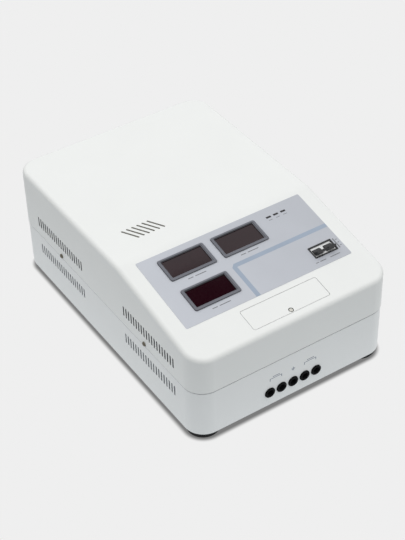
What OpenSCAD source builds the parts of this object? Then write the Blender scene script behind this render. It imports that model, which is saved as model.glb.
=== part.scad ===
/* [Case] */
// Width of the case, side to side
case_w = 310; // [300:1:325]
// Length of the case, front to rear
case_l = 460; // [450:1:480]
// Height of the case at the rear, without the feet
case_h = 164; // [159:1:178]
// Height of the seam above the underside of the case
seam_h = 74; // [70:1:78]
// Distance from the front face to the crease where the top starts to slope
slope_run = 184; // [179:1:194]
// Angle of the sloping top, in degrees
slope_angle = 10.5; // [8:0.5:12]
// Radius of the upright corners
corner_r = 29; // [25:1:34]
// Radius of the rounding round the top
edge_r = 13; // [9:1:15]
// Thickness of the moulded walls
wall = 3; // [2.4:0.1:3.6]
// How far the upper case stands proud of the lower case at the seam
seam_step = 0.7; // [0.4:0.1:1.4]

/* [Feet and case screws] */
// Diameter of a rubber foot
foot_d = 42; // [34:1:48]
// Height of a rubber foot
foot_h = 9; // [7:0.5:12]
// Distance from the sides of the case to a foot's middle
foot_inset = 27; // [25:1:32]
// Diameter of a foot screw
foot_screw_d = 5; // [4:0.5:6]
// Diameter of a case screw
case_screw_d = 3.5; // [3:0.1:4]
// Distance from the middle of the case to a case screw, along the case
case_screw_y = 109; // [95:1:120]

/* [Vents] */
// Slots in each side group
vent_count = 20; // [12:1:22]
// Distance from slot to slot
vent_pitch = 6.3; // [5:0.1:6.6]
// Width of a side slot
vent_w = 2.8; // [2:0.1:3.4]
// Length of a side slot
vent_l = 16.5; // [12:0.5:20]
// Distance from the seam to the middle of the row above it and of the row below it
vent_rise = 24.5; // [22:0.5:27]
// Distance from the middle of the case forward to the front groups
vent_front = 119; // [112:1:124]
// Distance from the middle of the case back to the rear groups
vent_rear = 112; // [104:1:118]
// Number of slanted slits in the top
louvre_count = 6; // [4:1:8]
// Distance from slit to slit
louvre_pitch = 8; // [6:0.5:10]
// Length of a slit
louvre_l = 28; // [20:1:34]
// Width of a slit
louvre_w = 1.8; // [1.2:0.1:2.6]
// Slant of a slit, in degrees
louvre_lean = 60; // [50:1:70]
// Distance from the left side to the middle of the slits
louvre_side = 71; // [62:1:85]
// Distance from the crease back to the middle of the slits
louvre_back = 47; // [35:1:60]

/* [Control panel] */
// Distance from each side of the case to the control panel
panel_side = 24.75; // [22:0.25:27]
// Length of the control panel down the slope
panel_l = 123; // [120:1:128]
// Distance from the crease to the control panel
panel_back = 8; // [6:0.5:10]
// Thickness of the control panel's sheet
panel_t = 0.8; // [0.6:0.1:1.2]
// Width of a display's frame
display_w = 69.5; // [66:0.5:72]
// Height of a display's frame
display_h = 37.5; // [35:0.5:40]
// Width of the border of a display's frame
display_border = 5; // [4:0.5:6]
// Length of an indicator lamp
lamp_w = 7.6; // [6:0.1:8.5]
// Width of an indicator lamp
lamp_h = 3; // [2:0.1:4]
// Distance from lamp to lamp
lamp_pitch = 11.8; // [10.5:0.1:13]
// Distance from the panel's rear edge to the lamps
lamp_back = 16; // [12:0.5:20]

/* [Breakers] */
// Width of one breaker
breaker_w = 17.8; // [17.5:0.1:18]
// Length of a breaker
breaker_l = 80; // [76:1:84]
// Depth of a breaker from its nose to its rail
breaker_h = 68; // [64:1:72]
// Distance from the panel's right edge to the middle of the breakers
breaker_side = 29.75; // [27:0.25:32]
// Distance from the panel's front edge to the middle of the breakers
breaker_front = 24.6; // [22:0.1:28]
// Length of the breaker window's frame across the panel
window_w = 37.4; // [36:0.2:39]
// Width of the breaker window's frame down the panel
window_h = 20; // [19:0.2:22]
// Width of a toggle
toggle_w = 12; // [10:0.5:13]
// Distance from a toggle's pivot to its tip
toggle_l = 15; // [13:0.5:16]
// Angle that a toggle leans to each side, in degrees
toggle_lean = 30; // [24:1:31]

/* [Terminals] */
// Number of cable entries
entry_count = 5; // [3:1:5]
// Distance from entry to entry
entry_pitch = 18.65; // [18:0.05:20]
// Height of the entries above the underside of the case
entry_z = 23; // [21:0.5:26]
// Distance of the entries' middle from the middle of the case, towards the left
entry_shift = 3.5; // [0:0.5:6]
// Outer diameter of a cable grommet
grommet_d = 15.6; // [14:0.1:17]
// Bore of a cable grommet
grommet_bore = 9; // [7:0.1:10]
// Width of the terminal cover
cover_w = 119; // [112:1:126]
// Length of the terminal cover down the slope
cover_l = 33.4; // [31:0.2:36]
// Thickness of the terminal cover
cover_t = 2; // [1.6:0.1:2.6]
// Distance of the cover's middle from the middle of the case, towards the right
cover_shift = 2.5; // [0:0.5:5]
// Length of the terminal block down the case
block_l = 30; // [26:1:33]

/* [Variable transformer] */
// Distance from the rear face to the axis of the variable transformer
core_back = 140; // [136:1:146]
// Outer diameter of the iron core
core_d = 170; // [160:1:174]
// Diameter of the core's hole
core_hole = 100; // [94:1:106]
// Height of the iron core
core_h = 46; // [42:1:50]
// Thickness of the winding on the core
winding_t = 7; // [6:0.5:8]
// Number of turns that show on the winding
turn_count = 72; // [48:4:96]
// Diameter of the brush shaft
shaft_d = 10; // [8:0.5:12]
// Module of the gear teeth
tooth_module = 1.5; // [1.4:0.05:1.55]
// Teeth of the driven gear
gear_teeth = 48; // [44:2:50]
// Teeth of the drive pinion
pinion_teeth = 16; // [16:1:18]
// Thickness of the gears
gear_t = 6; // [5:0.5:7]
// Diameter of the servo motor's gearbox
gearbox_d = 56; // [50:1:60]
// Height of the servo motor's gearbox
gearbox_h = 14; // [12:1:16]
// Diameter of the servo motor
motor_d = 42; // [36:1:46]
// Height of the servo motor above its gearbox
motor_h = 17; // [14:1:20]

/* [Series transformer] */
// Width of the laminated core
series_w = 105; // [99:1:108]
// Thickness of the stack of laminations
series_t = 50; // [44:1:56]

/* [Fan and contactor] */
// Side of the fan's frame
fan_size = 60; // [50:1:60]
// Thickness of the fan
fan_t = 25; // [20:1:26]
// Number of fan blades
blade_count = 7; // [5:1:9]
// Width of the contactor
contactor_w = 43; // [40:1:45]
// Length of the contactor
contactor_l = 74; // [68:1:78]
// Height of the contactor
contactor_h = 80; // [74:1:86]

/* [Hidden] */
$fn = 48;

// Overrun of a cut past the face that it opens
cut = 1;
// Play between pieces that slip into each other by hand
slip = 0.3;
// Play round a screw or a pressed piece
fit = 0.1;
// Radial play of a shaft or a pin that turns in its bore
play = 0.05;
// Thickness of a sliver that only joins two solids
bite = 0.5;

// Heights and places on the case
base_z = foot_h;
seam_z = base_z + seam_h;
top_z = base_z + case_h;
crease_y = slope_run - case_l / 2;
slope_len = slope_run / cos(slope_angle);
edge_run = edge_r * tan((90 - slope_angle) / 2);
flat_len = slope_len - edge_run;
ball_fn = 24;
ball_steps = 4;

// Lip of the lower case that the upper case slips over
lip_t = 2;
lip_h = 4;
lip_root = 5;
floor_t = 3;
foot_taper = 2;
foot_chamfer = 0.8;
foot_recess = 4;

// Screws: head diameters and heights as shares of the screw's diameter
head_share = 1.9;
head_h_share = 0.6;
slot_w_share = 0.2;
slot_deep_share = 0.3;
nut_share = 1.8;
nut_h_share = 0.8;
hex_fn = 6;

// Case screws and their bosses
case_screw_z = seam_z + case_screw_d * head_share / 2 + seam_step;
case_screw_l = 11;
boss_wall = 2.2;
tab_w = 16;

// Chassis plate
chassis_t = 2;
chassis_gap = 1;
deck_z = base_z + floor_t + chassis_t;

// Control panel: its sheet lies in a shallow recess
panel_w = case_w - 2 * panel_side;
panel_r = 2;
panel_proud = 0.3;
panel_sink = panel_t - panel_proud;
panel_left = -panel_w / 2;
panel_right = panel_w / 2;
panel_front = panel_back + panel_l;

// Displays and lamps: their gaps are shares of the panel that they leave free, across and down
lamp_row = 2 * lamp_pitch + lamp_w;
free_w = panel_w - 2 * display_w - lamp_row;
free_l = panel_l - 2 * display_h;
left_gap_share = 0.2879;
display_gap_share = 0.1462;
lamp_gap_share = 0.2016;
back_gap_share = 0.2177;
row_gap_share = 0.3917;
display_x = panel_left + free_w * left_gap_share + display_w / 2;
display_s = panel_back + free_l * back_gap_share + display_h / 2;
display_pitch = display_w + free_w * display_gap_share;
display_step = display_h + free_l * row_gap_share;
display_places = [
    [display_x, display_s],
    [display_x + display_pitch, display_s],
    [display_x, display_s + display_step]];
bezel_rise = 1.7;
bezel_r = 3;
bezel_chamfer = 0.6;
skirt_t = 1.6;
lens_t = 2;
lens_lap = 1;
lens_drop = 0.4;
display_open_w = display_w - 2 * display_border;
display_open_h = display_h - 2 * display_border + bite;
digit_h = 7;
digit_margin = 5;
board_t = 1.6;
board_drop = wall + digit_h + skirt_t;
board_margin = 10;
board_tail = 9;
post_d = 7;
post_hole_share = 0.4;
board_screw_d = 3;
board_screw_l = 7;

// Lamps
lamp_x = display_x + display_pitch + display_w / 2 + free_w * lamp_gap_share + lamp_row / 2;
lamp_s = panel_back + lamp_back;
lamp_rise = 0.2;

// Parts that hang under the display board
relay_w = 15;
relay_l = 19;
relay_h = 15.5;
capacitor_d = 13;
capacitor_h = 20;

// Breakers and their window
breaker_x = panel_right - breaker_side;
breaker_s = panel_front - breaker_front;
window_border = 2;
window_rise = 1;
window_chamfer = 0.4;
window_r = 1.2;
nose_drop = panel_sink + slip;
nose_l = 45;
nose_h = 22;
nose_chamfer = 2;
rail_w = 35;
rail_h = 7.5;
rail_lip = 5;
rail_t = 1;
rail_side = 12;
pivot_drop = nose_drop + 3.7;
drum_r = 6;
toggle_t = 5;
toggle_tip_share = 0.7;
toggle_pin_d = 3;
toggle_pin_l = 1.6;
bracket_t = 2;
bracket_foot = 12;
bracket_screw_d = 4;

// Terminal cover
ledge = 4;
ledge_t = 2;
cover_margin = 2;
cover_r = 2.5;
cover_gap = 0.35;
cover_s = flat_len - cover_margin - cover_l / 2;
cover_rib_t = 1.2;
cover_rib_h = 2.5;
cover_screw_d = 3;
cover_screw_l = 9;
cover_screw_in = 4.2;
cover_boss_d = 9;
cover_boss_h = 6;
cover_notch_r = 2.2;

// Cable entries and terminals
entry_x0 = -entry_shift - entry_pitch * (entry_count - 1) / 2;
grommet_flange = 2.2;
grommet_neck = 12;
grommet_inner = 14.6;
front_y = -case_l / 2;
front_wall_y = front_y + seam_step;
block_end = 9;
block_w = entry_pitch * entry_count + 2 * block_end;
block_base_h = 12;
block_step_h = 8;
barrier_t = 2;
barrier_h = 15;
wire_room = 14;
block_y = front_wall_y + wall + wire_room + block_l / 2;
terminal_screw_d = 5;
terminal_screw_l = 10;
terminal_plate_t = 1.2;
block_screw_d = 4;

// Variable transformer
core_y = case_l / 2 - core_back;
pad_t = 3;
winding_z = deck_z + pad_t;
winding_h = core_h + 2 * winding_t;
winding_or = core_d / 2 + winding_t;
winding_ir = core_hole / 2 - winding_t;
winding_round = 4;
winding_top = winding_z + winding_h;
turn_w_share = 0.3;
turn_deep = 0.6;
hub_flange_t = 4;
hub_flange_w = 9;
hub_bolt_d = 6;
hub_bolt_r = 27;
hub_top = winding_top + hub_flange_t;
bush_wall = 4;
bush_l = 20;
arm_gap = 1;
arm_t = 5;
arm_w = 16;
arm_hub_r = 14;
arm_z = hub_top + hub_bolt_d * head_h_share + 2 * arm_gap + bite;
brush_r = (winding_or + core_hole / 2) / 2;
brush_w = 8;
brush_l = 12;
brush_h = 11;
holder_wall = 3;
holder_drop = 8;
holder_r = brush_r + brush_l / 2 + holder_wall;
spring_t = 0.6;
spring_w = 6;

// Gears
gear_r = tooth_module * gear_teeth / 2;
pinion_r = tooth_module * pinion_teeth / 2;
gear_gap = gear_r + pinion_r + 0.1;
pressure_angle = 20;
backlash = 0.16;
addendum_share = 0.95;
dedendum_share = 1.25;
flank_shares = [0, 0.4, 0.75, 1];
gear_z = arm_z + arm_t + arm_gap;
gear_hole_r = shaft_d / 2 + fit;

// Motor and its bridge
bridge_t = 2;
bridge_gap = 5;
bridge_z = gear_z + gear_t + bridge_gap;
bridge_w = 28;
post_r = 6;
post_x = winding_or + post_r + bridge_gap;
motor_y = core_y - gear_gap;
motor_shaft_d = 6;
motor_flange = 8;
motor_screw_d = 3;
switch_w = 10;
switch_l = 10;
switch_h = 13;
switch_x = 9;
switch_lever_t = 1;
tongue_l = winding_or + switch_l + bridge_gap - arm_gap;
bridge_screw_d = 4;

// Series transformer
limb = series_w / 3;
series_h = series_w * 5 / 6;
series_window = limb / 2;
coil_gap = 0.6;
coil_r = 4;
angle_t = 2;
angle_leg = 14;
series_bolt_d = 4;
series_screw_d = 4;
series_screw_in = 10;

// Series transformer and contactor: their gaps are shares of the floor that they leave free
row_left = case_screw_l - case_w / 2;
row_right = breaker_x - breaker_w - rail_side - bracket_foot;
row_front = block_y + block_l / 2;
row_rear = core_y - winding_or;
row_free = row_right - row_left - series_w - contactor_w;
series_gap_share = 0.3;
contactor_gap_share = 0.35;
series_row_share = 0.43;
contactor_row_share = 0.5;
series_x = row_left + row_free * series_gap_share + series_w / 2;
series_y = row_front + (row_rear - row_front) * series_row_share;
contactor_x = series_x + series_w / 2 + row_free * contactor_gap_share + contactor_w / 2;
contactor_y = row_front + (row_rear - row_front) * contactor_row_share;
contactor_nose_l_share = 0.6;
contactor_pole_share = 2 / 7;
pole_pocket = 7;
pole_groove = 1.5;
pole_screw_d = 3.5;
pole_screw_l = 6;
contactor_base_h_share = 0.45;

// Fan
fan_gap = 0.5;
fan_z = deck_z + fan_gap + fan_size / 2;
rear_wall_y = case_l / 2 - seam_step;
fan_y = rear_wall_y - wall;
fan_wall = 1.5;
fan_tip_gap = 1;
fan_hole_in = 5;
fan_hub_d = 24;
fan_bore_r = fan_size / 2 - fan_wall;
fan_ring_t = 3;
blade_t = 1.4;
blade_pitch = 38;
fan_shaft_d = 3;
strut_w = 4;
strut_t = 3;
fan_screw_d = 3.5;
fan_screw_l = 12;
grille_bars = 8;
grille_bar_w = 2.6;

// Places a piece at x across and s down the slope, h above its surface
module on_slope(x, s, h = 0) {
    translate([0, crease_y, top_z]) rotate([slope_angle, 0, 0]) translate([x, -s, h]) children();
}

module rounded(w, l, r) {
    square([w - 2 * r, l], center = true);
    square([w, l - 2 * r], center = true);
    for (x = [-1, 1], y = [-1, 1]) translate([x * (w / 2 - r), y * (l / 2 - r)]) circle(r = r);
}

module slab(w, l, r, h) {
    linear_extrude(h) rounded(w, l, r);
}

module ring(w, l, r, h, border) {
    difference() {
        slab(w, l, r, h);
        translate([0, 0, -cut]) slab(w - 2 * border, l - 2 * border, max(r - border, bite), h + 2 * cut);
    }
}

// Slab whose upper edge is chamfered by c
module bevelled(w, l, r, h, c) {
    hull() {
        slab(w, l, r, h - c);
        slab(w - 2 * c, l - 2 * c, r - c, h);
    }
}

// Pan-head screw that points down from the origin, with its head above
module pan_screw(d, length, head = head_share) {
    head_h = d * head_h_share;
    difference() {
        union() {
            cylinder(d1 = d * head, d2 = d * head * 0.8, h = head_h);
            translate([0, 0, -length]) cylinder(d = d, h = length + bite);
        }
        for (turn = [0, 90]) rotate(turn)
            translate([-d * head * 0.32, -d * slot_w_share / 2, head_h - d * slot_deep_share])
                cube([d * head * 0.64, d * slot_w_share, head_h]);
    }
}

module hex_nut(d) {
    difference() {
        cylinder(d = d * nut_share, h = d * nut_h_share, $fn = hex_fn);
        translate([0, 0, -cut]) cylinder(d = d + 2 * fit, h = d * nut_h_share + 2 * cut);
    }
}

// Ball with a point on each pole, so that its hull touches the planes above it
module ball(r) {
    rotate_extrude($fn = ball_fn) intersection() {
        circle(r = r, $fn = ball_fn);
        translate([0, -r]) square([r, 2 * r]);
    }
}

// Top surface of the case at y, drawn in by inset
function lid_z(y, inset) = let (turn_y = crease_y + inset * tan(slope_angle / 2))
    top_z - inset - max(0, turn_y - y) * tan(slope_angle);

// Rounded form of the whole upper case from bottom_z up, drawn in by inset
module case_form(inset, bottom_z) {
    r = corner_r - inset;
    e = edge_r - inset;
    sweep_r = corner_r - edge_r;
    hull() {
        for (x = [-1, 1], y = [-1, 1]) {
            corner = [x * (case_w / 2 - corner_r), y * (case_l / 2 - corner_r)];
            column_top = min([for (k = [0:ball_steps])
                lid_z(corner[1] + y * sweep_r * sin(90 * k / ball_steps), edge_r)]);
            translate([corner[0], corner[1], bottom_z])
                cylinder(r = r, h = column_top - bottom_z, $fn = 2 * ball_fn);
            for (k = [0:ball_steps]) {
                turn = 90 * k / ball_steps;
                place = [corner[0] + x * sweep_r * cos(turn), corner[1] + y * sweep_r * sin(turn)];
                translate([place[0], place[1], lid_z(place[1], edge_r)])
                    rotate([place[1] < crease_y ? slope_angle : 0, 0, 0]) ball(e);
            }
        }
        for (x = [-1, 1], turn = [0, slope_angle])
            translate([x * (case_w / 2 - edge_r), crease_y + edge_r * tan(slope_angle / 2), top_z - edge_r])
                rotate([turn, 0, 0]) ball(e);
    }
}

module side_vents(z) {
    length = case_w + 2 * cut;
    for (middle = [-vent_front, vent_rear], k = [0:vent_count - 1])
        translate([-length / 2, middle + (k - (vent_count - 1) / 2) * vent_pitch - vent_w / 2,
            z - vent_l / 2])
            cube([length, vent_w, vent_l]);
}

module louvres() {
    for (k = [0:louvre_count - 1])
        translate([-case_w / 2 + louvre_side + (k - (louvre_count - 1) / 2) * louvre_pitch,
            crease_y + louvre_back, top_z - wall - cut])
            rotate(-louvre_lean) slab(louvre_l, louvre_w, louvre_w / 2 - fit / 2, wall + 2 * cut);
}

module case_screw_places() {
    for (side = [-1, 1], y = [-1, 1])
        translate([side * case_w / 2, y * case_screw_y, case_screw_z]) rotate([0, side * 90, 0]) children();
}

module board_post_places() {
    for (p = [
        [panel_left + board_margin + post_d / 2, panel_back + post_d],
        [lamp_x + lamp_pitch + lamp_w, lamp_s - lamp_h - post_d / 2],
        [panel_left + board_margin + post_d / 2, panel_front - board_tail],
        [display_x + display_w / 2, panel_front - board_tail]])
        on_slope(p[0], p[1]) children();
}

module fan_screw_places() {
    pitch = fan_size / 2 - fan_hole_in;
    for (x = [-1, 1], z = [-1, 1]) translate([x * pitch, 0, fan_z + z * pitch]) children();
}

module fan_grille() {
    intersection() {
        translate([0, rear_wall_y + cut, fan_z]) rotate([90, 0, 0])
            cylinder(r = fan_bore_r - fan_ring_t / 2, h = wall + 2 * cut);
        for (k = [0:grille_bars - 1]) {
            step = 2 * fan_bore_r / grille_bars;
            translate([-fan_bore_r, fan_y - cut, fan_z - fan_bore_r + k * step + grille_bar_w / 2])
                cube([2 * fan_bore_r, wall + 2 * cut, step - grille_bar_w]);
        }
    }
}

module upper_case() color("whitesmoke") {
    inner_w = cover_w - 2 * ledge;
    inner_l = cover_l - 2 * ledge;
    boss_s = cover_s + cover_l / 2 - cover_screw_in;
    difference() {
        union() {
            difference() {
                case_form(0, seam_z);
                case_form(wall, seam_z - cut);
            }
            on_slope(cover_shift, cover_s, -wall - ledge_t)
                slab(cover_w + 2 * ledge, cover_l + ledge, cover_r, ledge_t + bite);
            on_slope(cover_shift, boss_s, -wall - ledge_t - cover_boss_h)
                cylinder(d = cover_boss_d, h = cover_boss_h + bite);
            board_post_places() translate([0, 0, -board_drop])
                cylinder(d = post_d, h = board_drop - wall + bite);
        }
        on_slope(0, panel_back + panel_l / 2, -panel_sink)
            slab(panel_w + fit, panel_l + fit, panel_r, panel_t + cut);
        for (p = display_places) on_slope(p[0], p[1], -wall - cut)
            slab(display_open_w + 2 * skirt_t + fit, display_open_h + 2 * skirt_t + fit, skirt_t,
                wall + 2 * cut);
        for (k = [-1:1]) on_slope(lamp_x + k * lamp_pitch, lamp_s, -wall - cut)
            translate([-lamp_w / 2 - fit, -lamp_h / 2 - fit, 0])
                cube([lamp_w + 2 * fit, lamp_h + 2 * fit, wall + 2 * cut]);
        on_slope(breaker_x, breaker_s, -wall - cut)
            slab(2 * breaker_w + 2 * slip, nose_l + 2 * slip, window_r, wall + 2 * cut);
        on_slope(cover_shift, cover_s, -cover_t)
            slab(cover_w + 2 * cover_gap, cover_l + 2 * cover_gap, cover_r + cover_gap, cover_t + cut);
        difference() {
            on_slope(cover_shift, cover_s, -wall - ledge_t - cut)
                slab(inner_w, inner_l, cover_r, wall + ledge_t + 2 * cut);
            on_slope(cover_shift, boss_s, -wall - ledge_t - cover_boss_h - cut)
                cylinder(d = cover_boss_d, h = wall + ledge_t + cover_boss_h + 3 * cut);
        }
        on_slope(cover_shift, boss_s, -wall - ledge_t - cover_boss_h - cut)
            cylinder(d = cover_screw_d + 4 * fit, h = wall + ledge_t + cover_boss_h + 2 * cut);
        board_post_places() translate([0, 0, -board_drop - cut])
            cylinder(d = post_d * post_hole_share, h = board_screw_l - board_t + cut);
        side_vents(seam_z + vent_rise);
        louvres();
        case_screw_places() translate([0, 0, -wall - cut])
            cylinder(d = case_screw_d + 2 * fit, h = wall + 2 * cut);
    }
}

module entry_places() {
    for (k = [0:entry_count - 1])
        translate([entry_x0 + k * entry_pitch, front_wall_y, base_z + entry_z]) rotate([90, 0, 0])
            children();
}

module foot_places() {
    for (x = [-1, 1], y = [-1, 1])
        translate([x * (case_w / 2 - foot_inset), y * (case_l / 2 - foot_inset), 0]) children();
}

module lower_case() color("gainsboro") {
    w = case_w - 2 * seam_step;
    l = case_l - 2 * seam_step;
    r = corner_r - seam_step;
    lip_in = wall + slip;
    tab_z = case_screw_z + case_screw_d / 2 + boss_wall;
    boss_d = case_screw_d + 2 * boss_wall;
    difference() {
        union() {
            difference() {
                translate([0, 0, base_z]) slab(w, l, r, seam_h);
                translate([0, 0, base_z + floor_t]) slab(w - 2 * wall, l - 2 * wall, r - wall, seam_h);
            }
            translate([0, 0, seam_z - lip_root])
                ring(case_w - 2 * lip_in, case_l - 2 * lip_in, corner_r - lip_in, lip_root + lip_h, lip_t);
            for (side = [-1, 1], y = [-1, 1])
                translate([side * (case_w / 2 - lip_in - lip_t / 2), y * case_screw_y,
                    (seam_z - lip_root + tab_z) / 2])
                    cube([lip_t, tab_w, tab_z - seam_z + lip_root], center = true);
            case_screw_places() translate([0, 0, -case_screw_l])
                cylinder(d = boss_d, h = case_screw_l - lip_in);
        }
        entry_places() translate([0, 0, -wall - cut])
            cylinder(d = grommet_neck + 2 * fit, h = wall + 2 * cut);
        foot_places() translate([0, 0, base_z - cut])
            cylinder(d = foot_screw_d + 2 * fit, h = floor_t + 2 * cut);
        case_screw_places() translate([0, 0, -case_screw_l - cut])
            cylinder(d = case_screw_d + 2 * fit, h = case_screw_l + cut);
        side_vents(seam_z - vent_rise);
        fan_grille();
        fan_screw_places() translate([0, rear_wall_y + cut, 0]) rotate([90, 0, 0])
            cylinder(d = fan_screw_d + 2 * fit, h = wall + 2 * cut);
        translate([-fan_size / 2 - slip, fan_y - fan_t, fan_z - fan_size / 2 - fan_gap / 2])
            cube([fan_size + 2 * slip, fan_t, fan_size + fan_gap / 2 + slip]);
    }
}

module rubber_feet() color("#1b1b1c") foot_places() difference() {
    union() {
        cylinder(d1 = foot_d - 2 * foot_taper - 2 * foot_chamfer, d2 = foot_d - 2 * foot_taper,
            h = foot_chamfer);
        translate([0, 0, foot_chamfer])
            cylinder(d1 = foot_d - 2 * foot_taper, d2 = foot_d, h = foot_h - foot_chamfer);
    }
    translate([0, 0, -cut]) cylinder(d = foot_screw_d * head_share + 2 * cut, h = foot_recess + cut);
    translate([0, 0, -cut]) cylinder(d = foot_screw_d + 2 * fit, h = foot_h + 2 * cut);
}

module foot_screws() color("silver") {
    length = deck_z - foot_recess + foot_screw_d * nut_h_share + bite;
    foot_places() translate([0, 0, foot_recess]) rotate([180, 0, 0]) pan_screw(foot_screw_d, length);
}

module foot_nuts() color("silver") foot_places() translate([0, 0, deck_z]) hex_nut(foot_screw_d);

module case_screws() color("silver") case_screw_places() pan_screw(case_screw_d, case_screw_l);

module chassis_plate() color("darkgray") {
    in = seam_step + wall + chassis_gap;
    difference() {
        translate([0, 0, base_z + floor_t])
            slab(case_w - 2 * in, case_l - 2 * in, corner_r - in, chassis_t);
        foot_places() translate([0, 0, base_z])
            cylinder(d = foot_screw_d + 2 * fit, h = floor_t + chassis_t + cut);
        hub_bolt_places() translate([0, 0, base_z])
            cylinder(d = hub_bolt_d + 2 * fit, h = floor_t + chassis_t + cut);
        bracket_screw_places() cylinder(d = bracket_screw_d + 2 * fit, h = 4 * chassis_t + cut,
            center = true);
        series_screw_places() cylinder(d = series_screw_d + 2 * fit, h = 4 * chassis_t + cut,
            center = true);
        block_screw_places() translate([0, 0, -block_base_h - chassis_t - cut])
            cylinder(d = block_screw_d + 2 * fit, h = chassis_t + 2 * cut);
    }
}

module control_panel() color("#b9bec8") difference() {
    on_slope(0, panel_back + panel_l / 2, -panel_sink) slab(panel_w, panel_l, panel_r, panel_t);
    for (p = display_places) on_slope(p[0], p[1], -wall)
        slab(display_open_w + 2 * skirt_t + fit, display_open_h + 2 * skirt_t + fit, skirt_t, 2 * wall);
    for (k = [-1:1]) on_slope(lamp_x + k * lamp_pitch, lamp_s, -wall)
        translate([-lamp_w / 2 - fit, -lamp_h / 2 - fit, 0])
            cube([lamp_w + 2 * fit, lamp_h + 2 * fit, 2 * wall]);
    on_slope(breaker_x, breaker_s, -wall)
        slab(window_w - window_border + fit, window_h - window_border + fit, window_r, 2 * wall);
}

module display_bezels() color("#8d96a4") for (p = display_places) on_slope(p[0], p[1]) {
    deep = wall + skirt_t;
    lens_w = display_open_w + 2 * lens_lap;
    lens_h = display_open_h + 2 * lens_lap;
    difference() {
        union() {
            translate([0, 0, panel_proud]) bevelled(display_w, display_h, bezel_r, bezel_rise,
                bezel_chamfer);
            translate([0, 0, -deep]) slab(display_open_w + 2 * skirt_t, display_open_h + 2 * skirt_t,
                skirt_t, deep + panel_proud + bite);
        }
        translate([0, 0, -deep - cut]) slab(display_open_w, display_open_h, bite,
            deep + bezel_rise + 2 * cut);
        translate([0, 0, -deep - cut]) slab(lens_w + fit, lens_h + fit, bite, deep - lens_drop + cut);
        translate([0, 0, panel_proud + bezel_rise + bezel_chamfer]) mirror([0, 0, 1])
            bevelled(display_open_w + 4 * bezel_chamfer, display_open_h + 4 * bezel_chamfer,
                bite + 2 * bezel_chamfer, 2 * bezel_chamfer + bite, 2 * bezel_chamfer);
    }
}

module display_lenses() color("#3a1f26") for (p = display_places)
    on_slope(p[0], p[1], -lens_drop - lens_t)
        slab(display_open_w + 2 * lens_lap, display_open_h + 2 * lens_lap, bite, lens_t);

module digit_modules() color("#202024") for (p = display_places)
    on_slope(p[0], p[1], -board_drop)
        slab(display_open_w - 2 * digit_margin, display_open_h - 2 * digit_margin, bite, digit_h);

module board_outline() {
    left = panel_left + board_margin;
    right = lamp_x + lamp_pitch + lamp_w + post_d;
    turn_s = display_s + display_h / 2 + post_d / 2;
    tail_x = display_x + display_w / 2 + post_d / 2;
    polygon([[left, -panel_back], [right, -panel_back], [right, -turn_s], [tail_x, -turn_s],
        [tail_x, -panel_front + cut], [left, -panel_front + cut]]);
}

module display_board() color("darkgreen") difference() {
    on_slope(0, 0, -board_drop - board_t) linear_extrude(board_t) board_outline();
    board_post_places() translate([0, 0, -board_drop - board_t - cut])
        cylinder(d = board_screw_d + 2 * fit, h = board_t + 2 * cut);
}

module board_screws() color("silver") board_post_places()
    translate([0, 0, -board_drop - board_t]) rotate([180, 0, 0])
        pan_screw(board_screw_d * post_hole_share * 2, board_screw_l - cut);

module board_relays() color("royalblue") for (k = [0:2])
    on_slope(display_x + display_pitch - relay_l + k * (relay_l + cut), display_s,
        -board_drop - board_t - relay_h)
        slab(relay_l - cut, relay_w, bite, relay_h);

module board_capacitors() color("black") for (k = [0:2])
    on_slope(display_x + (k - 1) * (capacitor_d + 2 * cut), display_s + display_step + capacitor_d,
        -board_drop - board_t - capacitor_h)
        cylinder(d = capacitor_d, h = capacitor_h);

module indicator_lamps() color("#26262a") for (k = [-1:1])
    on_slope(lamp_x + k * lamp_pitch, lamp_s, -board_drop)
        translate([-lamp_w / 2, -lamp_h / 2, 0])
            cube([lamp_w, lamp_h, board_drop + panel_proud + lamp_rise]);

module breaker_bezel() color("#141416") on_slope(breaker_x, breaker_s) {
    deep = nose_drop - fit;
    open_w = window_w - 2 * window_border;
    open_h = window_h - 2 * window_border;
    difference() {
        union() {
            translate([0, 0, panel_proud]) bevelled(window_w, window_h, window_r, window_rise,
                window_chamfer);
            translate([0, 0, -deep]) slab(window_w - window_border, window_h - window_border, window_r,
                deep + panel_proud + bite);
        }
        translate([0, 0, -deep - cut]) slab(open_w, open_h, window_r / 2, deep + window_rise + 2 * cut);
    }
}

// Side outline of a modular breaker, its nose up and its rail seat down
module breaker_side_outline() {
    half = breaker_l / 2;
    nose = nose_l / 2;
    low = -breaker_h;
    shoulder = -nose_h;
    seat = rail_w / 2 + slip;
    polygon([[-half, low + rail_h], [-seat, low + rail_h], [-seat, low + rail_h / 2],
        [seat, low + rail_h / 2],
        [seat, low + rail_h], [half, low + rail_h], [half, shoulder - nose_chamfer],
        [half - nose_chamfer, shoulder], [nose, shoulder], [nose, -nose_chamfer], [nose - nose_chamfer, 0],
        [nose_chamfer - nose, 0], [-nose, -nose_chamfer], [-nose, shoulder],
            [nose_chamfer - half, shoulder],
        [-half, shoulder - nose_chamfer]]);
}

module breaker(x) {
    clamp_d = 7;
    difference() {
        on_slope(x, breaker_s, -nose_drop) rotate([90, 0, 90]) translate([0, 0, -breaker_w / 2 + fit / 2])
            linear_extrude(breaker_w - fit) breaker_side_outline();
        on_slope(x - toggle_w / 2 - slip, breaker_s, -pivot_drop) rotate([0, 90, 0])
            cylinder(r = drum_r + slip, h = toggle_w + 2 * slip);
        on_slope(x - toggle_w / 2 - toggle_pin_l - slip, breaker_s, -pivot_drop) rotate([0, 90, 0])
            cylinder(r = toggle_pin_d / 2 + play, h = toggle_w + 2 * toggle_pin_l + 2 * slip);
        for (side = [-1, 1]) on_slope(x, breaker_s + side * (breaker_l / 2 - clamp_d),
            -nose_drop - nose_h - clamp_d)
            cylinder(d = clamp_d, h = clamp_d + cut);
    }
}

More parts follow.
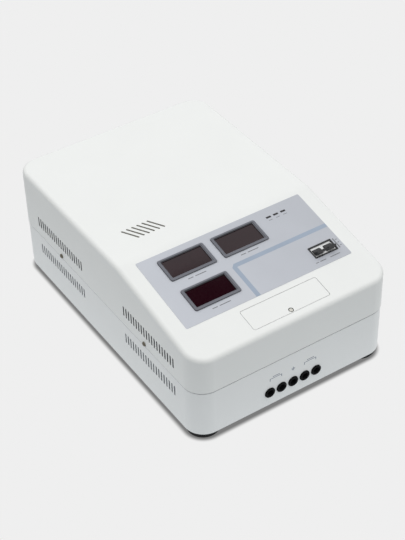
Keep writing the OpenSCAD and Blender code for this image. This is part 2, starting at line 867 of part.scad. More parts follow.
module bypass_breaker() color("white") breaker(breaker_x - breaker_w / 2);
module regulator_breaker() color("white") breaker(breaker_x + breaker_w / 2);

module toggle(x) {
    tip = toggle_t * toggle_tip_share;
    on_slope(x, breaker_s, -pivot_drop) rotate([toggle_lean, 0, 0]) {
        rotate([0, 90, 0]) translate([0, 0, -toggle_w / 2]) cylinder(r = drum_r, h = toggle_w);
        rotate([90, 0, 90]) translate([0, 0, -toggle_w / 2]) linear_extrude(toggle_w)
            polygon([[-toggle_t / 2, 0], [toggle_t / 2, 0], [tip / 2, toggle_l], [-tip / 2, toggle_l]]);
        rotate([0, 90, 0]) translate([0, 0, -toggle_w / 2 - toggle_pin_l])
            cylinder(d = toggle_pin_d, h = toggle_w + 2 * toggle_pin_l);
    }
}

module bypass_toggle() color("#141416") toggle(breaker_x - breaker_w / 2);
module regulator_toggle() color("#141416") toggle(breaker_x + breaker_w / 2);

// The rail's middle lies under the seats of both breakers
rail_drop = nose_drop + breaker_h - rail_h / 2;
rail_len = 2 * breaker_w + 2 * rail_side;

module breaker_rail() color("silver") on_slope(breaker_x, breaker_s, -rail_drop) rotate([90, 0, 90])
    translate([0, 0, -rail_len / 2]) linear_extrude(rail_len) {
        half = rail_w / 2;
        for (side = [-1, 1]) {
            translate([side * (half - rail_lip / 2), -rail_t / 2])
                square([rail_lip, rail_t], center = true);
            translate([side * (half - rail_lip + rail_t / 2), -rail_h / 2])
                square([rail_t, rail_h], center = true);
        }
        translate([0, rail_t / 2 - rail_h]) square([rail_w - 2 * rail_lip, rail_t], center = true);
    }

shelf_drop = rail_drop + rail_h;
shelf_half = rail_w / 2 + bracket_t;

// Height of the shelf's underside at a distance s down the slope
function shelf_z(s) = top_z - s * sin(slope_angle) - (shelf_drop + bracket_t) * cos(slope_angle);
function shelf_y(s) = crease_y - s * cos(slope_angle) + (shelf_drop + bracket_t) * sin(slope_angle);

module breaker_bracket() color("darkgray") difference() {
    union() {
        on_slope(breaker_x - rail_len / 2, breaker_s + shelf_half, -shelf_drop - bracket_t)
            cube([rail_len, 2 * shelf_half, bracket_t]);
        for (side = [-1, 1]) {
            leg_x = breaker_x + side * (rail_len / 2 - bracket_t / 2);
            back = breaker_s - shelf_half;
            front = breaker_s + shelf_half;
            translate([leg_x - bracket_t / 2, 0, 0]) rotate([90, 0, 90]) linear_extrude(bracket_t)
                polygon([[shelf_y(front), deck_z], [shelf_y(back), deck_z],
                    [shelf_y(back), shelf_z(back) + bite],
                    [shelf_y(front), shelf_z(front) + bite]]);
            translate([leg_x + (side < 0 ? -bracket_foot : 0), shelf_y(front), deck_z])
                cube([bracket_foot, shelf_y(back) - shelf_y(front), bracket_t]);
        }
    }
    bracket_screw_places() cylinder(d = bracket_screw_d + 2 * fit, h = 4 * bracket_t, center = true);
}

module bracket_screw_places() {
    mid = (shelf_y(breaker_s - shelf_half) + shelf_y(breaker_s + shelf_half)) / 2;
    for (side = [-1, 1], y = [-1, 1])
        translate([breaker_x + side * (rail_len / 2 + bracket_foot / 2), mid + y * rail_w / 4,
            deck_z + bracket_t]) children();
}

module bracket_screws() color("silver") bracket_screw_places()
    pan_screw(bracket_screw_d, bracket_t + chassis_t / 2);

module terminal_cover() color("whitesmoke") {
    inner_w = cover_w - 2 * ledge - 2 * slip;
    inner_l = cover_l - 2 * ledge - 2 * slip;
    screw_s = cover_l / 2 - cover_screw_in;
    rib_clear = cover_boss_d + 2 * slip;
    difference() {
        on_slope(cover_shift, cover_s, -cover_t) union() {
            slab(cover_w, cover_l, cover_r, cover_t);
            difference() {
                translate([0, 0, -cover_rib_h])
                    ring(inner_w, inner_l, cover_r, cover_rib_h + bite, cover_rib_t);
                translate([-rib_clear / 2, -cover_l / 2, -cover_rib_h - cut])
                    cube([rib_clear, cover_l / 2, cover_rib_h + cut]);
            }
        }
        on_slope(cover_shift, cover_s + screw_s, -cover_t - cut)
            cylinder(d = cover_screw_d + 2 * fit, h = cover_t + 2 * cut);
        on_slope(cover_shift, cover_s + screw_s, -cover_screw_d * head_h_share)
            cylinder(d = cover_screw_d * head_share + 2 * fit, h = cover_t);
        on_slope(cover_shift - cover_boss_d, cover_s + cover_l / 2, -cover_t - cut)
            cylinder(r = cover_notch_r, h = cover_t + 2 * cut);
    }
}

module cover_screw() color("silver")
    on_slope(cover_shift, cover_s + cover_l / 2 - cover_screw_in, -cover_screw_d * head_h_share)
        pan_screw(cover_screw_d, cover_screw_l);

module terminal_block() color("#22262b") {
    difference() {
        union() {
            translate([-entry_shift, block_y, deck_z]) {
                translate([-block_w / 2, -block_l / 2, 0]) cube([block_w, block_l, block_base_h]);
                translate([-block_w / 2 + block_screw_d * 2, -block_l / 6, 0])
                    cube([block_w - block_screw_d * 4, block_l / 3, block_base_h + block_step_h]);
            }
            for (k = [0:entry_count])
                translate([entry_x0 + (k - 0.5) * entry_pitch - barrier_t / 2, block_y - block_l / 2,
                    deck_z])
                    cube([barrier_t, block_l, block_base_h + barrier_h]);
        }
        terminal_screw_places() translate([0, 0, -terminal_screw_l])
            cylinder(d = terminal_screw_d + 2 * fit, h = terminal_screw_l + cut);
        block_screw_places() translate([0, 0, -block_base_h - cut])
            cylinder(d = block_screw_d + 2 * fit, h = block_base_h + 2 * cut);
    }
}

module terminal_screw_places() {
    for (k = [0:entry_count - 1], side = [-1, 1])
        translate([entry_x0 + k * entry_pitch, block_y + side * block_l / 3, deck_z + block_base_h])
            children();
}

module block_screw_places() {
    for (side = [-1, 1])
        translate([-entry_shift + side * (block_w / 2 - block_screw_d), block_y, deck_z + block_base_h])
            children();
}

module terminal_screws() color("gold") terminal_screw_places() {
    plate = entry_pitch - barrier_t - 4 * fit;
    pan_screw(terminal_screw_d, terminal_screw_l - cut);
    difference() {
        translate([0, 0, terminal_plate_t / 2])
            cube([plate, block_l / 3 - fit, terminal_plate_t], center = true);
        translate([0, 0, -cut]) cylinder(d = terminal_screw_d, h = terminal_plate_t + 2 * cut);
    }
}

module block_screws() color("silver") block_screw_places()
    pan_screw(block_screw_d, block_base_h + chassis_t / 2);

module cable_grommets() color("#151516") entry_places() rotate_extrude() {
    bore = grommet_bore / 2;
    neck = grommet_neck / 2;
    outer = grommet_d / 2;
    inner = grommet_inner / 2;
    polygon([[bore, -wall - grommet_flange], [inner, -wall - grommet_flange], [inner, -wall], [neck, -wall],
        [neck, 0], [outer, 0], [outer, grommet_flange / 2], [outer - grommet_flange / 2, grommet_flange],
        [bore + grommet_flange / 2, grommet_flange], [bore, grommet_flange / 2]]);
}

module hub_bolt_places() {
    for (k = [0:2]) translate([0, core_y, 0]) rotate(90 + k * 120) translate([hub_bolt_r, 0, 0]) children();
}

module core_pad() color("dimgray") translate([0, core_y, deck_z]) difference() {
    cylinder(r = winding_or - winding_round, h = pad_t);
    translate([0, 0, -cut]) cylinder(r = winding_ir + slip, h = pad_t + 2 * cut);
}

module toroid_core() color("slategray") translate([0, core_y, winding_z + winding_t]) difference() {
    cylinder(d = core_d, h = core_h);
    translate([0, 0, -cut]) cylinder(d = core_hole, h = core_h + 2 * cut);
}

module toroid_winding() color("peru") translate([0, core_y, winding_z]) difference() {
    rotate_extrude() translate([(winding_or + winding_ir) / 2, winding_h / 2])
        rounded(winding_or - winding_ir, winding_h, winding_round);
    translate([0, 0, winding_t]) difference() {
        cylinder(d = core_d, h = core_h);
        translate([0, 0, -cut]) cylinder(d = core_hole, h = core_h + 2 * cut);
    }
    turn_w = 2 * PI * winding_or / turn_count * turn_w_share;
    groove_z = winding_round + bite;
    for (k = [0:turn_count - 1]) rotate((k + 0.5) * 360 / turn_count)
    {
        translate([winding_or - turn_deep, -turn_w / 2, groove_z])
            cube([winding_t, turn_w, winding_h - 2 * groove_z]);
        translate([winding_ir + groove_z, -turn_w / 4, winding_h - turn_deep])
            cube([winding_or - winding_ir - 2 * groove_z, turn_w / 2, winding_t]);
    }
}

module hub_spool() color("saddlebrown") translate([0, core_y, 0]) difference() {
    union() {
        translate([0, 0, deck_z]) cylinder(r = winding_ir - slip, h = winding_top - deck_z);
        translate([0, 0, winding_top]) cylinder(r = winding_ir + hub_flange_w, h = hub_flange_t);
    }
    translate([0, 0, hub_top - bush_l]) cylinder(r = shaft_d / 2 + bush_wall, h = bush_l + cut);
    translate([0, 0, deck_z + pad_t]) cylinder(r = shaft_d / 2 + cut, h = hub_top);
    for (k = [0:2]) rotate(90 + k * 120) translate([hub_bolt_r, 0, deck_z - cut])
        cylinder(d = hub_bolt_d + 2 * fit, h = hub_top);
}

module hub_bolts() color("silver") hub_bolt_places() translate([0, 0, hub_top])
    pan_screw(hub_bolt_d, hub_top - deck_z + chassis_t / 2, head_share * 0.9);

bridge_bush_l = bridge_t + 2 * arm_gap;

// Bush, with a flange at its top where flange_t is over zero
module bush(length, flange_t) {
    difference() {
        union() {
            cylinder(r = shaft_d / 2 + bush_wall, h = length);
            if (flange_t > 0) translate([0, 0, length - flange_t])
                cylinder(r = shaft_d / 2 + bush_wall + flange_t, h = flange_t);
        }
        translate([0, 0, -cut]) cylinder(r = shaft_d / 2 + play, h = length + 2 * cut);
    }
}

module shaft_bushes() color("goldenrod") translate([0, core_y, 0]) {
    translate([0, 0, hub_top - bush_l]) bush(bush_l, 0);
    translate([0, 0, bridge_z]) bush(bridge_bush_l, bridge_bush_l - bridge_t);
}

module brush_shaft() color("silver") translate([0, core_y, hub_top - bush_l - pad_t])
    cylinder(d = shaft_d, h = bridge_z + bridge_bush_l + cut - (hub_top - bush_l - pad_t));

module brush_arm() color("lightgray") translate([0, core_y, 0]) difference() {
    union() {
        translate([0, 0, hub_top + arm_gap]) cylinder(r = arm_hub_r, h = gear_z - hub_top - arm_gap);
        translate([-arm_w / 2, -holder_r, arm_z]) cube([arm_w, holder_r, arm_t]);
        translate([-brush_w / 2 - holder_wall, -holder_r, arm_z - holder_drop])
            cube([brush_w + 2 * holder_wall, brush_l + 2 * holder_wall, holder_drop + bite]);
    }
    translate([0, 0, winding_top]) cylinder(r = shaft_d / 2 + fit, h = gear_z);
    translate([-brush_w / 2 - fit, -brush_r - brush_l / 2 - fit, winding_top])
        cube([brush_w + 2 * fit, brush_l + 2 * fit, gear_z]);
}

module carbon_brush() color("#2c2c2e")
    translate([-brush_w / 2, core_y - brush_r - brush_l / 2, winding_top + slip])
    cube([brush_w, brush_l, brush_h]);

module brush_spring() color("gold") translate([0, core_y, arm_z + arm_t]) {
    edge = -brush_r + brush_l / 2 - spring_t;
    start = edge + 3 * holder_wall;
    drop = arm_z + arm_t - (winding_top + slip + brush_h);
    rotate([90, 0, 90]) translate([0, 0, -spring_w / 2]) linear_extrude(spring_w)
        polygon([[start, 0], [edge, 0], [-brush_r, -drop], [-brush_r - brush_l / 4, -drop],
            [-brush_r - brush_l / 4, spring_t - drop], [-brush_r, spring_t - drop],
            [edge - spring_t / 2, spring_t], [start, spring_t]]);
}

// Half the angle of a tooth at radius r, on a gear with pitch radius p and n teeth
function involute(a) = (tan(a) - a * PI / 180) * 180 / PI;
function tooth_half(r, p, n) = let (base = p * cos(pressure_angle))
    90 / n - backlash / 4 / p * 180 / PI + involute(pressure_angle) - (r > base ? involute(acos(base / r)) : 0);

function flank(p, n) = let (root = p - tooth_module * dedendum_share,
    tip = p + tooth_module * addendum_share,
    low = max(root, p * cos(pressure_angle)))
    concat([[root, tooth_half(low, p, n)]],
        [for (share = flank_shares) let (r = low + (tip - low) * share) [r, tooth_half(r, p, n)]]);

module spur_gear(p, n, t) {
    side = flank(p, n);
    count = len(side);
    linear_extrude(t) polygon([for (k = [0:n - 1]) each concat(
        [for (q = side) let (a = k * 360 / n - q[1]) [q[0] * cos(a), q[0] * sin(a)]],
        [for (j = [count - 1:-1:0]) let (q = side[j], a = k * 360 / n + q[1]) [q[0] * cos(a),
            q[0] * sin(a)]])]);
}

module driven_gear() color("ivory") translate([0, core_y, gear_z]) difference() {
    rotate(-90) spur_gear(gear_r, gear_teeth, gear_t);
    translate([0, 0, -cut]) cylinder(r = gear_hole_r, h = gear_t + 2 * cut);
    for (k = [0:5]) rotate(30 + k * 60) translate([gear_r * 0.6, 0, -cut])
        cylinder(r = gear_r * 0.17, h = gear_t + 2 * cut);
}

module drive_pinion() color("gold") translate([0, motor_y, gear_z]) difference() {
    rotate(90 + 180 / pinion_teeth) spur_gear(pinion_r, pinion_teeth, gear_t);
    translate([0, 0, -cut]) cylinder(d = motor_shaft_d + 2 * fit, h = gear_t + 2 * cut);
}

module motor_shaft() color("silver") translate([0, motor_y, gear_z])
    cylinder(d = motor_shaft_d, h = bridge_z + bridge_t + gearbox_h / 2 - gear_z);

module motor_screw_places() {
    for (turn = [45:90:315]) translate([0, motor_y, bridge_z + bridge_t]) rotate(turn)
        translate([gearbox_d / 2 + motor_flange / 2, 0, 0]) children();
}

module servo_motor() color("lightsteelblue") difference() {
    union() {
        translate([0, motor_y, bridge_z + bridge_t]) {
            cylinder(d = gearbox_d, h = gearbox_h);
            cylinder(d = motor_d, h = gearbox_h + motor_h);
            cylinder(r = gearbox_d / 2 + motor_flange, h = bridge_t);
        }
    }
    translate([0, motor_y, bridge_z])
        cylinder(d = motor_shaft_d + 2 * play, h = bridge_t + gearbox_h / 2 + cut);
    motor_screw_places() translate([0, 0, -cut])
        cylinder(d = motor_screw_d + 2 * fit, h = bridge_t + 2 * cut);
}

module motor_screws() color("silver") motor_screw_places() translate([0, 0, bridge_t])
    pan_screw(motor_screw_d, 2 * bridge_t + cut);

module bridge_outline() {
    pad = gearbox_d / 2 + motor_flange + cut;
    square([2 * (post_x + post_r), bridge_w], center = true);
    translate([-pad, -gear_gap - pad]) square([2 * pad, gear_gap + pad]);
    translate([-switch_x - switch_w - cut, 0]) square([2 * (switch_x + switch_w + cut), tongue_l]);
}

module motor_bridge() color("darkgray") difference() {
    translate([0, core_y, bridge_z]) linear_extrude(bridge_t) bridge_outline();
    translate([0, core_y, bridge_z - cut])
        cylinder(r = shaft_d / 2 + bush_wall + fit, h = bridge_t + 2 * cut);
    translate([0, motor_y, bridge_z - cut]) cylinder(d = motor_shaft_d + 2 * cut, h = bridge_t + 2 * cut);
    motor_screw_places() translate([0, 0, -bridge_t - cut])
        cylinder(d = motor_screw_d + 2 * fit, h = bridge_t + 2 * cut);
    for (side = [-1, 1]) translate([side * post_x, core_y, bridge_z - cut])
        cylinder(d = bridge_screw_d + 2 * fit, h = bridge_t + 2 * cut);
}

module bridge_posts() color("silver") for (side = [-1, 1]) translate([side * post_x, core_y, deck_z])
    difference() {
    cylinder(r = post_r, h = bridge_z - deck_z, $fn = hex_fn);
    translate([0, 0, bridge_z - deck_z - 3 * bridge_screw_d])
        cylinder(d = bridge_screw_d + 2 * fit, h = 3 * bridge_screw_d + cut);
}

module bridge_screws() color("silver") for (side = [-1, 1])
    translate([side * post_x, core_y, bridge_z + bridge_t])
        pan_screw(bridge_screw_d, bridge_t + 2 * bridge_screw_d);

module limit_switches() color("#303236") for (side = [-1, 1])
    translate([side * (switch_x + switch_w / 2), core_y + tongue_l - switch_l / 2 - cut,
        bridge_z - switch_h]) {
        translate([-switch_w / 2, -switch_l / 2, 0]) cube([switch_w, switch_l, switch_h]);
        translate([side * (switch_w / 2 - switch_lever_t / 2), -switch_l / 2, -switch_lever_t])
            cube([switch_lever_t, switch_l, 3 * switch_lever_t], center = true);
    }

module series_core() color("slategray") translate([series_x, series_y, deck_z]) difference() {
    translate([-series_w / 2, -series_t / 2, 0]) cube([series_w, series_t, series_h]);
    for (side = [-1, 1]) translate([side * (limb / 2 + series_window / 2) - series_window / 2,
        -series_t / 2 - cut, series_window])
        cube([series_window, series_t + 2 * cut, series_h - 2 * series_window]);
    series_bolt_places() translate([0, 0, -series_t])
        cylinder(d = series_bolt_d + 2 * fit, h = 2 * series_t);
}

// Bolt holes through the stack, with the bolt's head towards the front
module series_bolt_places() {
    in = series_window / 2;
    for (x = [-1, 1], z = [in, series_h - in]) translate([x * (series_w / 2 - in), 0, z])
        rotate([90, 0, 0]) children();
}

module series_coil() color("darkkhaki") translate([series_x, series_y, deck_z + series_window + coil_gap]) {
    reach = series_window - coil_gap;
    h = series_h - 2 * series_window - 2 * coil_gap;
    difference() {
        slab(limb + 2 * reach, series_t + 2 * reach, coil_r, h);
        translate([0, 0, -cut]) slab(limb + 2 * fit, series_t + 2 * fit, fit, h + 2 * cut);
    }
}

module series_brackets() color("darkgray") difference() {
    translate([series_x, series_y, deck_z]) for (side = [-1, 1]) {
        translate([-series_w / 2, side * (series_t / 2 + angle_t / 2) - angle_t / 2, 0])
            cube([series_w, angle_t, series_window - coil_gap]);
        translate([-series_w / 2, side * (series_t / 2 + angle_leg / 2) - angle_leg / 2, 0])
            cube([series_w, angle_leg, angle_t]);
    }
    translate([series_x, series_y, deck_z]) series_bolt_places() translate([0, 0, -series_t])
        cylinder(d = series_bolt_d + 2 * fit, h = 2 * series_t);
    series_screw_places() translate([0, 0, -angle_t - cut])
        cylinder(d = series_screw_d + 2 * fit, h = angle_t + 2 * cut);
}

module series_screw_places() {
    for (x = [-1, 1], y = [-1, 1]) translate([series_x + x * (series_w / 2 - series_screw_in),
        series_y + y * (series_t / 2 + angle_leg - series_screw_d), deck_z + angle_t]) children();
}

module series_screws() color("silver") series_screw_places()
    pan_screw(series_screw_d, angle_t + chassis_t / 2);

module series_bolts() color("silver") translate([series_x, series_y, deck_z]) series_bolt_places()
    translate([0, 0, series_t / 2 + angle_t]) pan_screw(series_bolt_d, series_t + 2 * angle_t + cut);

// Terminals of the contactor, three poles on each of its two steps
module pole_places() {
    step = contactor_l * (1 - contactor_nose_l_share) / 2;
    for (k = [-1:1], side = [-1, 1]) translate([contactor_x + k * contactor_w * contactor_pole_share,
        contactor_y + side * (contactor_l - step) / 2,
            deck_z + contactor_h * contactor_base_h_share]) children();
}

module contactor() color("#2b2d31") {
    base_h = contactor_h * contactor_base_h_share;
    step = contactor_l * (1 - contactor_nose_l_share) / 2;
    half = contactor_l / 2;
    difference() {
        translate([contactor_x - contactor_w / 2, contactor_y, deck_z]) rotate([90, 0, 90])
            linear_extrude(contactor_w) polygon([[-half, 0], [half, 0], [half, base_h],
                [half - step, base_h],
                [half - step, contactor_h], [step - half, contactor_h], [step - half, base_h],
                    [-half, base_h]]);
        pole_places() translate([0, 0, -pole_pocket]) cylinder(d = pole_pocket, h = pole_pocket + cut);
        pole_places() translate([0, 0, -pole_pocket - pole_screw_l])
            cylinder(d = pole_screw_d + 2 * fit, h = pole_screw_l + cut);
        for (x = [-1, 1], side = [-1, 1])
            translate([contactor_x + x * contactor_w * contactor_pole_share / 2 - pole_groove / 2,
                contactor_y + side * (half - step / 2) - step / 2 - cut, deck_z + base_h - pole_pocket])
                cube([pole_groove, step + 2 * cut, pole_pocket + cut]);
    }
}

module contactor_screws() color("silver") pole_places() translate([0, 0, -pole_pocket])
    pan_screw(pole_screw_d, pole_screw_l - bite);

module fan_frame() color("#1c1c1e") translate([0, fan_y, fan_z]) rotate([90, 0, 0]) difference() {
    union() {
        difference() {
            slab(fan_size, fan_size, fan_ring_t, fan_t);
            translate([0, 0, -cut]) cylinder(r = fan_bore_r, h = fan_t + 2 * cut);
        }
        translate([0, 0, fan_t - strut_t]) cylinder(d = fan_hub_d, h = strut_t);
        for (turn = [0:90:270]) rotate(turn + 20)
            translate([fan_hub_d / 2 - cut, -strut_w / 2, fan_t - strut_t])
            cube([fan_bore_r - fan_hub_d / 2 + 1.5 * cut, strut_w, strut_t]);
    }
    translate([0, 0, fan_t - strut_t - cut]) cylinder(d = fan_shaft_d + 2 * play, h = strut_t + 2 * cut);
    for (x = [-1, 1], y = [-1, 1]) translate([x, y, 0] * (fan_size / 2 - fan_hole_in))
        translate([0, 0, -cut]) cylinder(d = fan_screw_d + 2 * fit, h = fan_t + 2 * cut);
}

module fan_rotor() color("#242427") translate([0, fan_y, fan_z]) rotate([90, 0, 0]) {
    hub_z = 2;
    hub_h = fan_t - strut_t - hub_z - cut;
    tip_r = fan_bore_r - fan_tip_gap;
    translate([0, 0, hub_z]) cylinder(d = fan_hub_d, h = hub_h);
    translate([0, 0, hub_z + hub_h - bite]) cylinder(d = fan_shaft_d, h = strut_t + cut + bite);
    intersection() {
        translate([0, 0, hub_z + cut]) cylinder(r = tip_r, h = hub_h - 2 * cut);
        for (k = [0:blade_count - 1]) rotate(k * 360 / blade_count) translate([0, 0, hub_z + hub_h / 2])
            rotate([90 - blade_pitch, 0, 0]) translate([fan_hub_d / 2 - 2 * cut, -fan_t, -blade_t / 2])
                cube([tip_r, 2 * fan_t, blade_t]);
    }
}

module fan_screws() color("silver") fan_screw_places() translate([0, rear_wall_y, 0]) rotate([-90, 0, 0])
    pan_screw(fan_screw_d, fan_screw_l);

upper_case();
lower_case();
chassis_plate();
rubber_feet();
foot_screws();
foot_nuts();
case_screws();
control_panel();
display_bezels();
display_lenses();
digit_modules();
display_board();
board_screws();
board_relays();
board_capacitors();
indicator_lamps();
breaker_bezel();
bypass_breaker();
regulator_breaker();
bypass_toggle();
regulator_toggle();
breaker_rail();
breaker_bracket();
bracket_screws();
terminal_cover();
cover_screw();
terminal_block();
terminal_screws();
block_screws();
cable_grommets();
core_pad();
toroid_core();
toroid_winding();
hub_spool();
hub_bolts();
shaft_bushes();
brush_shaft();
brush_arm();
carbon_brush();
brush_spring();
driven_gear();
drive_pinion();
motor_shaft();
servo_motor();
motor_screws();
motor_bridge();
bridge_posts();
bridge_screws();
limit_switches();
series_core();
series_coil();
series_brackets();
series_bolts();
series_screws();
contactor();
contactor_screws();
fan_frame();
fan_rotor();
fan_screws();
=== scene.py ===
"""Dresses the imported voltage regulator: case shells, panel, small parts, finishes and stage."""

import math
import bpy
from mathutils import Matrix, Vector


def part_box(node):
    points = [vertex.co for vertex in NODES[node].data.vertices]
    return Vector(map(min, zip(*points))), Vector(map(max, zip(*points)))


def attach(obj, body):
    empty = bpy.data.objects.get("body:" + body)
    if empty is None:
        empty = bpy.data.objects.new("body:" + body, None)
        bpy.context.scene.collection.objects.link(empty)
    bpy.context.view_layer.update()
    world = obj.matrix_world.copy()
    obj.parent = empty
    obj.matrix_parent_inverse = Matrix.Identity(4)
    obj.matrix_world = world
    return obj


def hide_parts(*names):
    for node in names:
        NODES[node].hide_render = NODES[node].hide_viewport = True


bl_info = {
    "name": "Voltage Regulator Dressing",
    "version": (1, 0, 0),
    "blender": (4, 5, 0),
    "location": "View3D > Sidebar > Regulator",
    "description": "Builds the visible pieces and finishes of a regulator round its CAD frame",
    "category": "Object",
}

import bpy
from bpy.props import FloatProperty, FloatVectorProperty, IntProperty, PointerProperty
from mathutils import Matrix, Vector

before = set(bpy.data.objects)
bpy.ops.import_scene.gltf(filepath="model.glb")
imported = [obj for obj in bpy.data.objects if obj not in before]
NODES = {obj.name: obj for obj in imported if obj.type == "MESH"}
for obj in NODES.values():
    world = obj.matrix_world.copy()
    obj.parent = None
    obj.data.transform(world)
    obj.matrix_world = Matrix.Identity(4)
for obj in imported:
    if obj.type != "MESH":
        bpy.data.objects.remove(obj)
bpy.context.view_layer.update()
UPPER_LOW, UPPER_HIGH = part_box("upper_case")
LOWER_LOW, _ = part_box("lower_case")
SCREW_LOW, SCREW_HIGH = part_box("case_screws")
ENTRY_LOW, ENTRY_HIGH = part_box("cable_grommets")

MM = 0.001
QUARTER = math.pi / 2

# Places on the sloping top, in mm: across from its middle, and down from the crease
DISPLAYS = ((-69.5, 37.2), (13.2, 37.2), (-69.5, 93.5))
LAMPS = (81.75, 24.0)
WINDOW = (100.5, 106.4)
COVER = (2.5, 157.6)
COVER_SCREW = (2.5, 170.1)
BAND_CORNER = (-20.25, -73.5)

# Openings in the wall under the panel, in mm: width, length and corner radius
DISPLAY_HOLE = (62.8, 31.3, 1.6)
LAMP_HOLE = (7.8, 3.2, 0.2)
BREAKER_HOLE = (36.2, 45.6, 1.2)

# Terminal cover and display frames, in mm
COVER_W, COVER_L, COVER_R = 119.0, 33.4, 2.5
COVER_BOSS, COVER_HOLE, SEAT_D = 9, 3.4, 7.2
FRAME_EDGE = 4.9  # width of a frame's border at the sides
FRAME_BORDERS = 1.804  # its rear and front borders together, as a share of that width

# Screws, feet, cable entries and the marks over them; diameters and lengths in mm
SCREW_HOLE, FOOT_HOLE, ENTRY_HOLE = 3.7, 5.2, 12.2
CASE_SCREW_D, CASE_SCREW_L = 3.5, 11
CASE_SCREW_Y, CASE_SCREW_Z = 109.0 * MM, (SCREW_LOW.z + SCREW_HIGH.z) / 2
FOOT_X, FOOT_Y = 128 * MM, 203 * MM
ENTRY_X, ENTRY_Z = ENTRY_LOW.x + 7.8 * MM, (ENTRY_LOW.z + ENTRY_HIGH.z) / 2
ENTRY_COUNT, ENTRY_PITCH = 5, 18.65 * MM
MARK_LEVEL = 55.3

# Fan and its opening in the rear wall, in mm; the frame's room has its width, depth, corner
# radius, lowest and highest level
FAN_Z, FAN_SCREW, FAN_ROOM = 44.5, 25, (60.6, 25.4, 0.1, 14.25, 76.8)
GRILLE, GRILLE_D, GRILLE_SLOTS, GRILLE_BAR = 57, 54, 8, 2.6

# Directions of the camera's darker side and of the screen that the gloss shows
CAMERA_SIDE = (-0.75, -0.66, 0.0)
SCREEN_SIDE = (0.40, 0.30, 0.866)

# How much a direction agrees with these two where the shade and the screen begin and are full
SHADE_RANGE = (0.5, 0.93)
SCREEN_RANGE = (0.9966, 0.9971)

# Noise in a finish: the values that its changes spread over, its detail and the relief's height
NOISE_RANGE = (0.3, 0.7)
PATCH_DETAIL, GRAIN_DETAIL = 4.0, 2.0
RELIEF = 0.2 * MM

# Where the walls of slots are looked for
SKIN_DEPTH = 0.2 * MM  # a slot's walls are deeper than this
VENT_REACH_SHARE = 0.56  # up and down from a row's middle, of a slot's length
VENT_SPAN_SHARE = 0.42  # to the front and rear, of the case's length
SLIT_REACH_SHARE = 0.4  # up and down from the middle of the top's wall, of that wall
SLITS_RIGHT = -50 * MM  # the slits are to the left of this
SIDEWAYS = 0.5  # a wall across a slot faces less than this along the slot's depth

LEAST_RADIUS = 0.001 * MM
JOINED = 0.01 * MM  # points closer than this are one


# Properties

def length(name, description, mm):
    """A size in the panel, given in millimetres and kept in metres"""
    return FloatProperty(name=name, description=description, default=mm * MM,
                         subtype="DISTANCE", unit="LENGTH", precision=5)


def angle(name, description, degrees):
    """An angle in the panel, given in degrees and kept in radians"""
    return FloatProperty(name=name, description=description, default=math.radians(degrees),
                         subtype="ANGLE", unit="ROTATION")


def paint(name, description, red, green, blue):
    """A colour in the panel, given in linear light"""
    return FloatVectorProperty(name=name, description=description, size=3, min=0, max=1,
                               default=(red, green, blue), subtype="COLOR")


def amount(name, description, value, **more):
    """A strength in the panel"""
    return FloatProperty(name=name, description=description, default=value, min=0, **more)


def share(name, description, value):
    """A share between 0 and 1 in the panel"""
    return amount(name, description, value, max=1, subtype="FACTOR")


def count(name, description, value):
    """A number of things in the panel"""
    return IntProperty(name=name, description=description, default=value, min=1)


def vector(name, description, subtype, *values, **more):
    """A place or a turn in the panel"""
    return FloatVectorProperty(name=name, description=description, size=len(values),
                               default=values, subtype=subtype, **more)


class CaseSizes(bpy.types.PropertyGroup):
    width: length("Width", "Width of the case", (UPPER_HIGH.x - UPPER_LOW.x) / MM)
    length: length("Length", "Length of the case", (UPPER_HIGH.y - UPPER_LOW.y) / MM)
    top: length("Top", "Height of the flat top", UPPER_HIGH.z / MM)
    seam: length("Seam", "Height of the seam between the two mouldings", UPPER_LOW.z / MM)
    foot: length("Underside", "Height of the underside of the case", LOWER_LOW.z / MM)
    step: length("Seam step", "How far the upper moulding stands proud",
                 (LOWER_LOW.x - UPPER_LOW.x) / MM)
    corner: length("Corner", "Radius of the upright corners", 29)
    edge: length("Edge", "Radius of the rounding round the top", 6.5)
    wall: length("Wall", "Thickness of the moulded walls", 3)
    run: length("Slope run", "Distance from the front to the crease", 184)
    crease: length("Crease", "Radius of the soft crease in the top", 60)
    slope: angle("Slope", "Angle of the sloping top", 10.5)
    vent_count: count("Vent slots", "Slots in each side group", 20)
    vent_pitch: length("Vent pitch", "Distance from slot to slot", 6.3)
    vent_width: length("Vent width", "Width of a side slot", 2.8)
    vent_length: length("Vent length", "Length of a side slot", 16.5)
    vent_rise: length("Vent rise", "Distance from the seam to the middle of a row of slots", 24.5)
    vent_front: length("Front vents", "From the middle of the case to the front groups", 119)
    vent_rear: length("Rear vents", "From the middle of the case to the rear groups", 112)
    slit_count: count("Top slits", "Slanted slits in the top", 6)
    slit_pitch: length("Slit pitch", "Distance from slit to slit", 8)
    slit_width: length("Slit width", "Width of a slit", 2.7)
    slit_length: length("Slit length", "Length of a slit", 28)
    slit_side: length("Slits from the side", "From the left side to the middle of the slits", 71)
    slit_back: length("Slits from the crease", "From the crease to the middle of the slits", 47)
    slit_slant: angle("Slant", "Angle of the slits", 30)
    ink: length("Ink", "Thickness of a printed mark", 0.05)


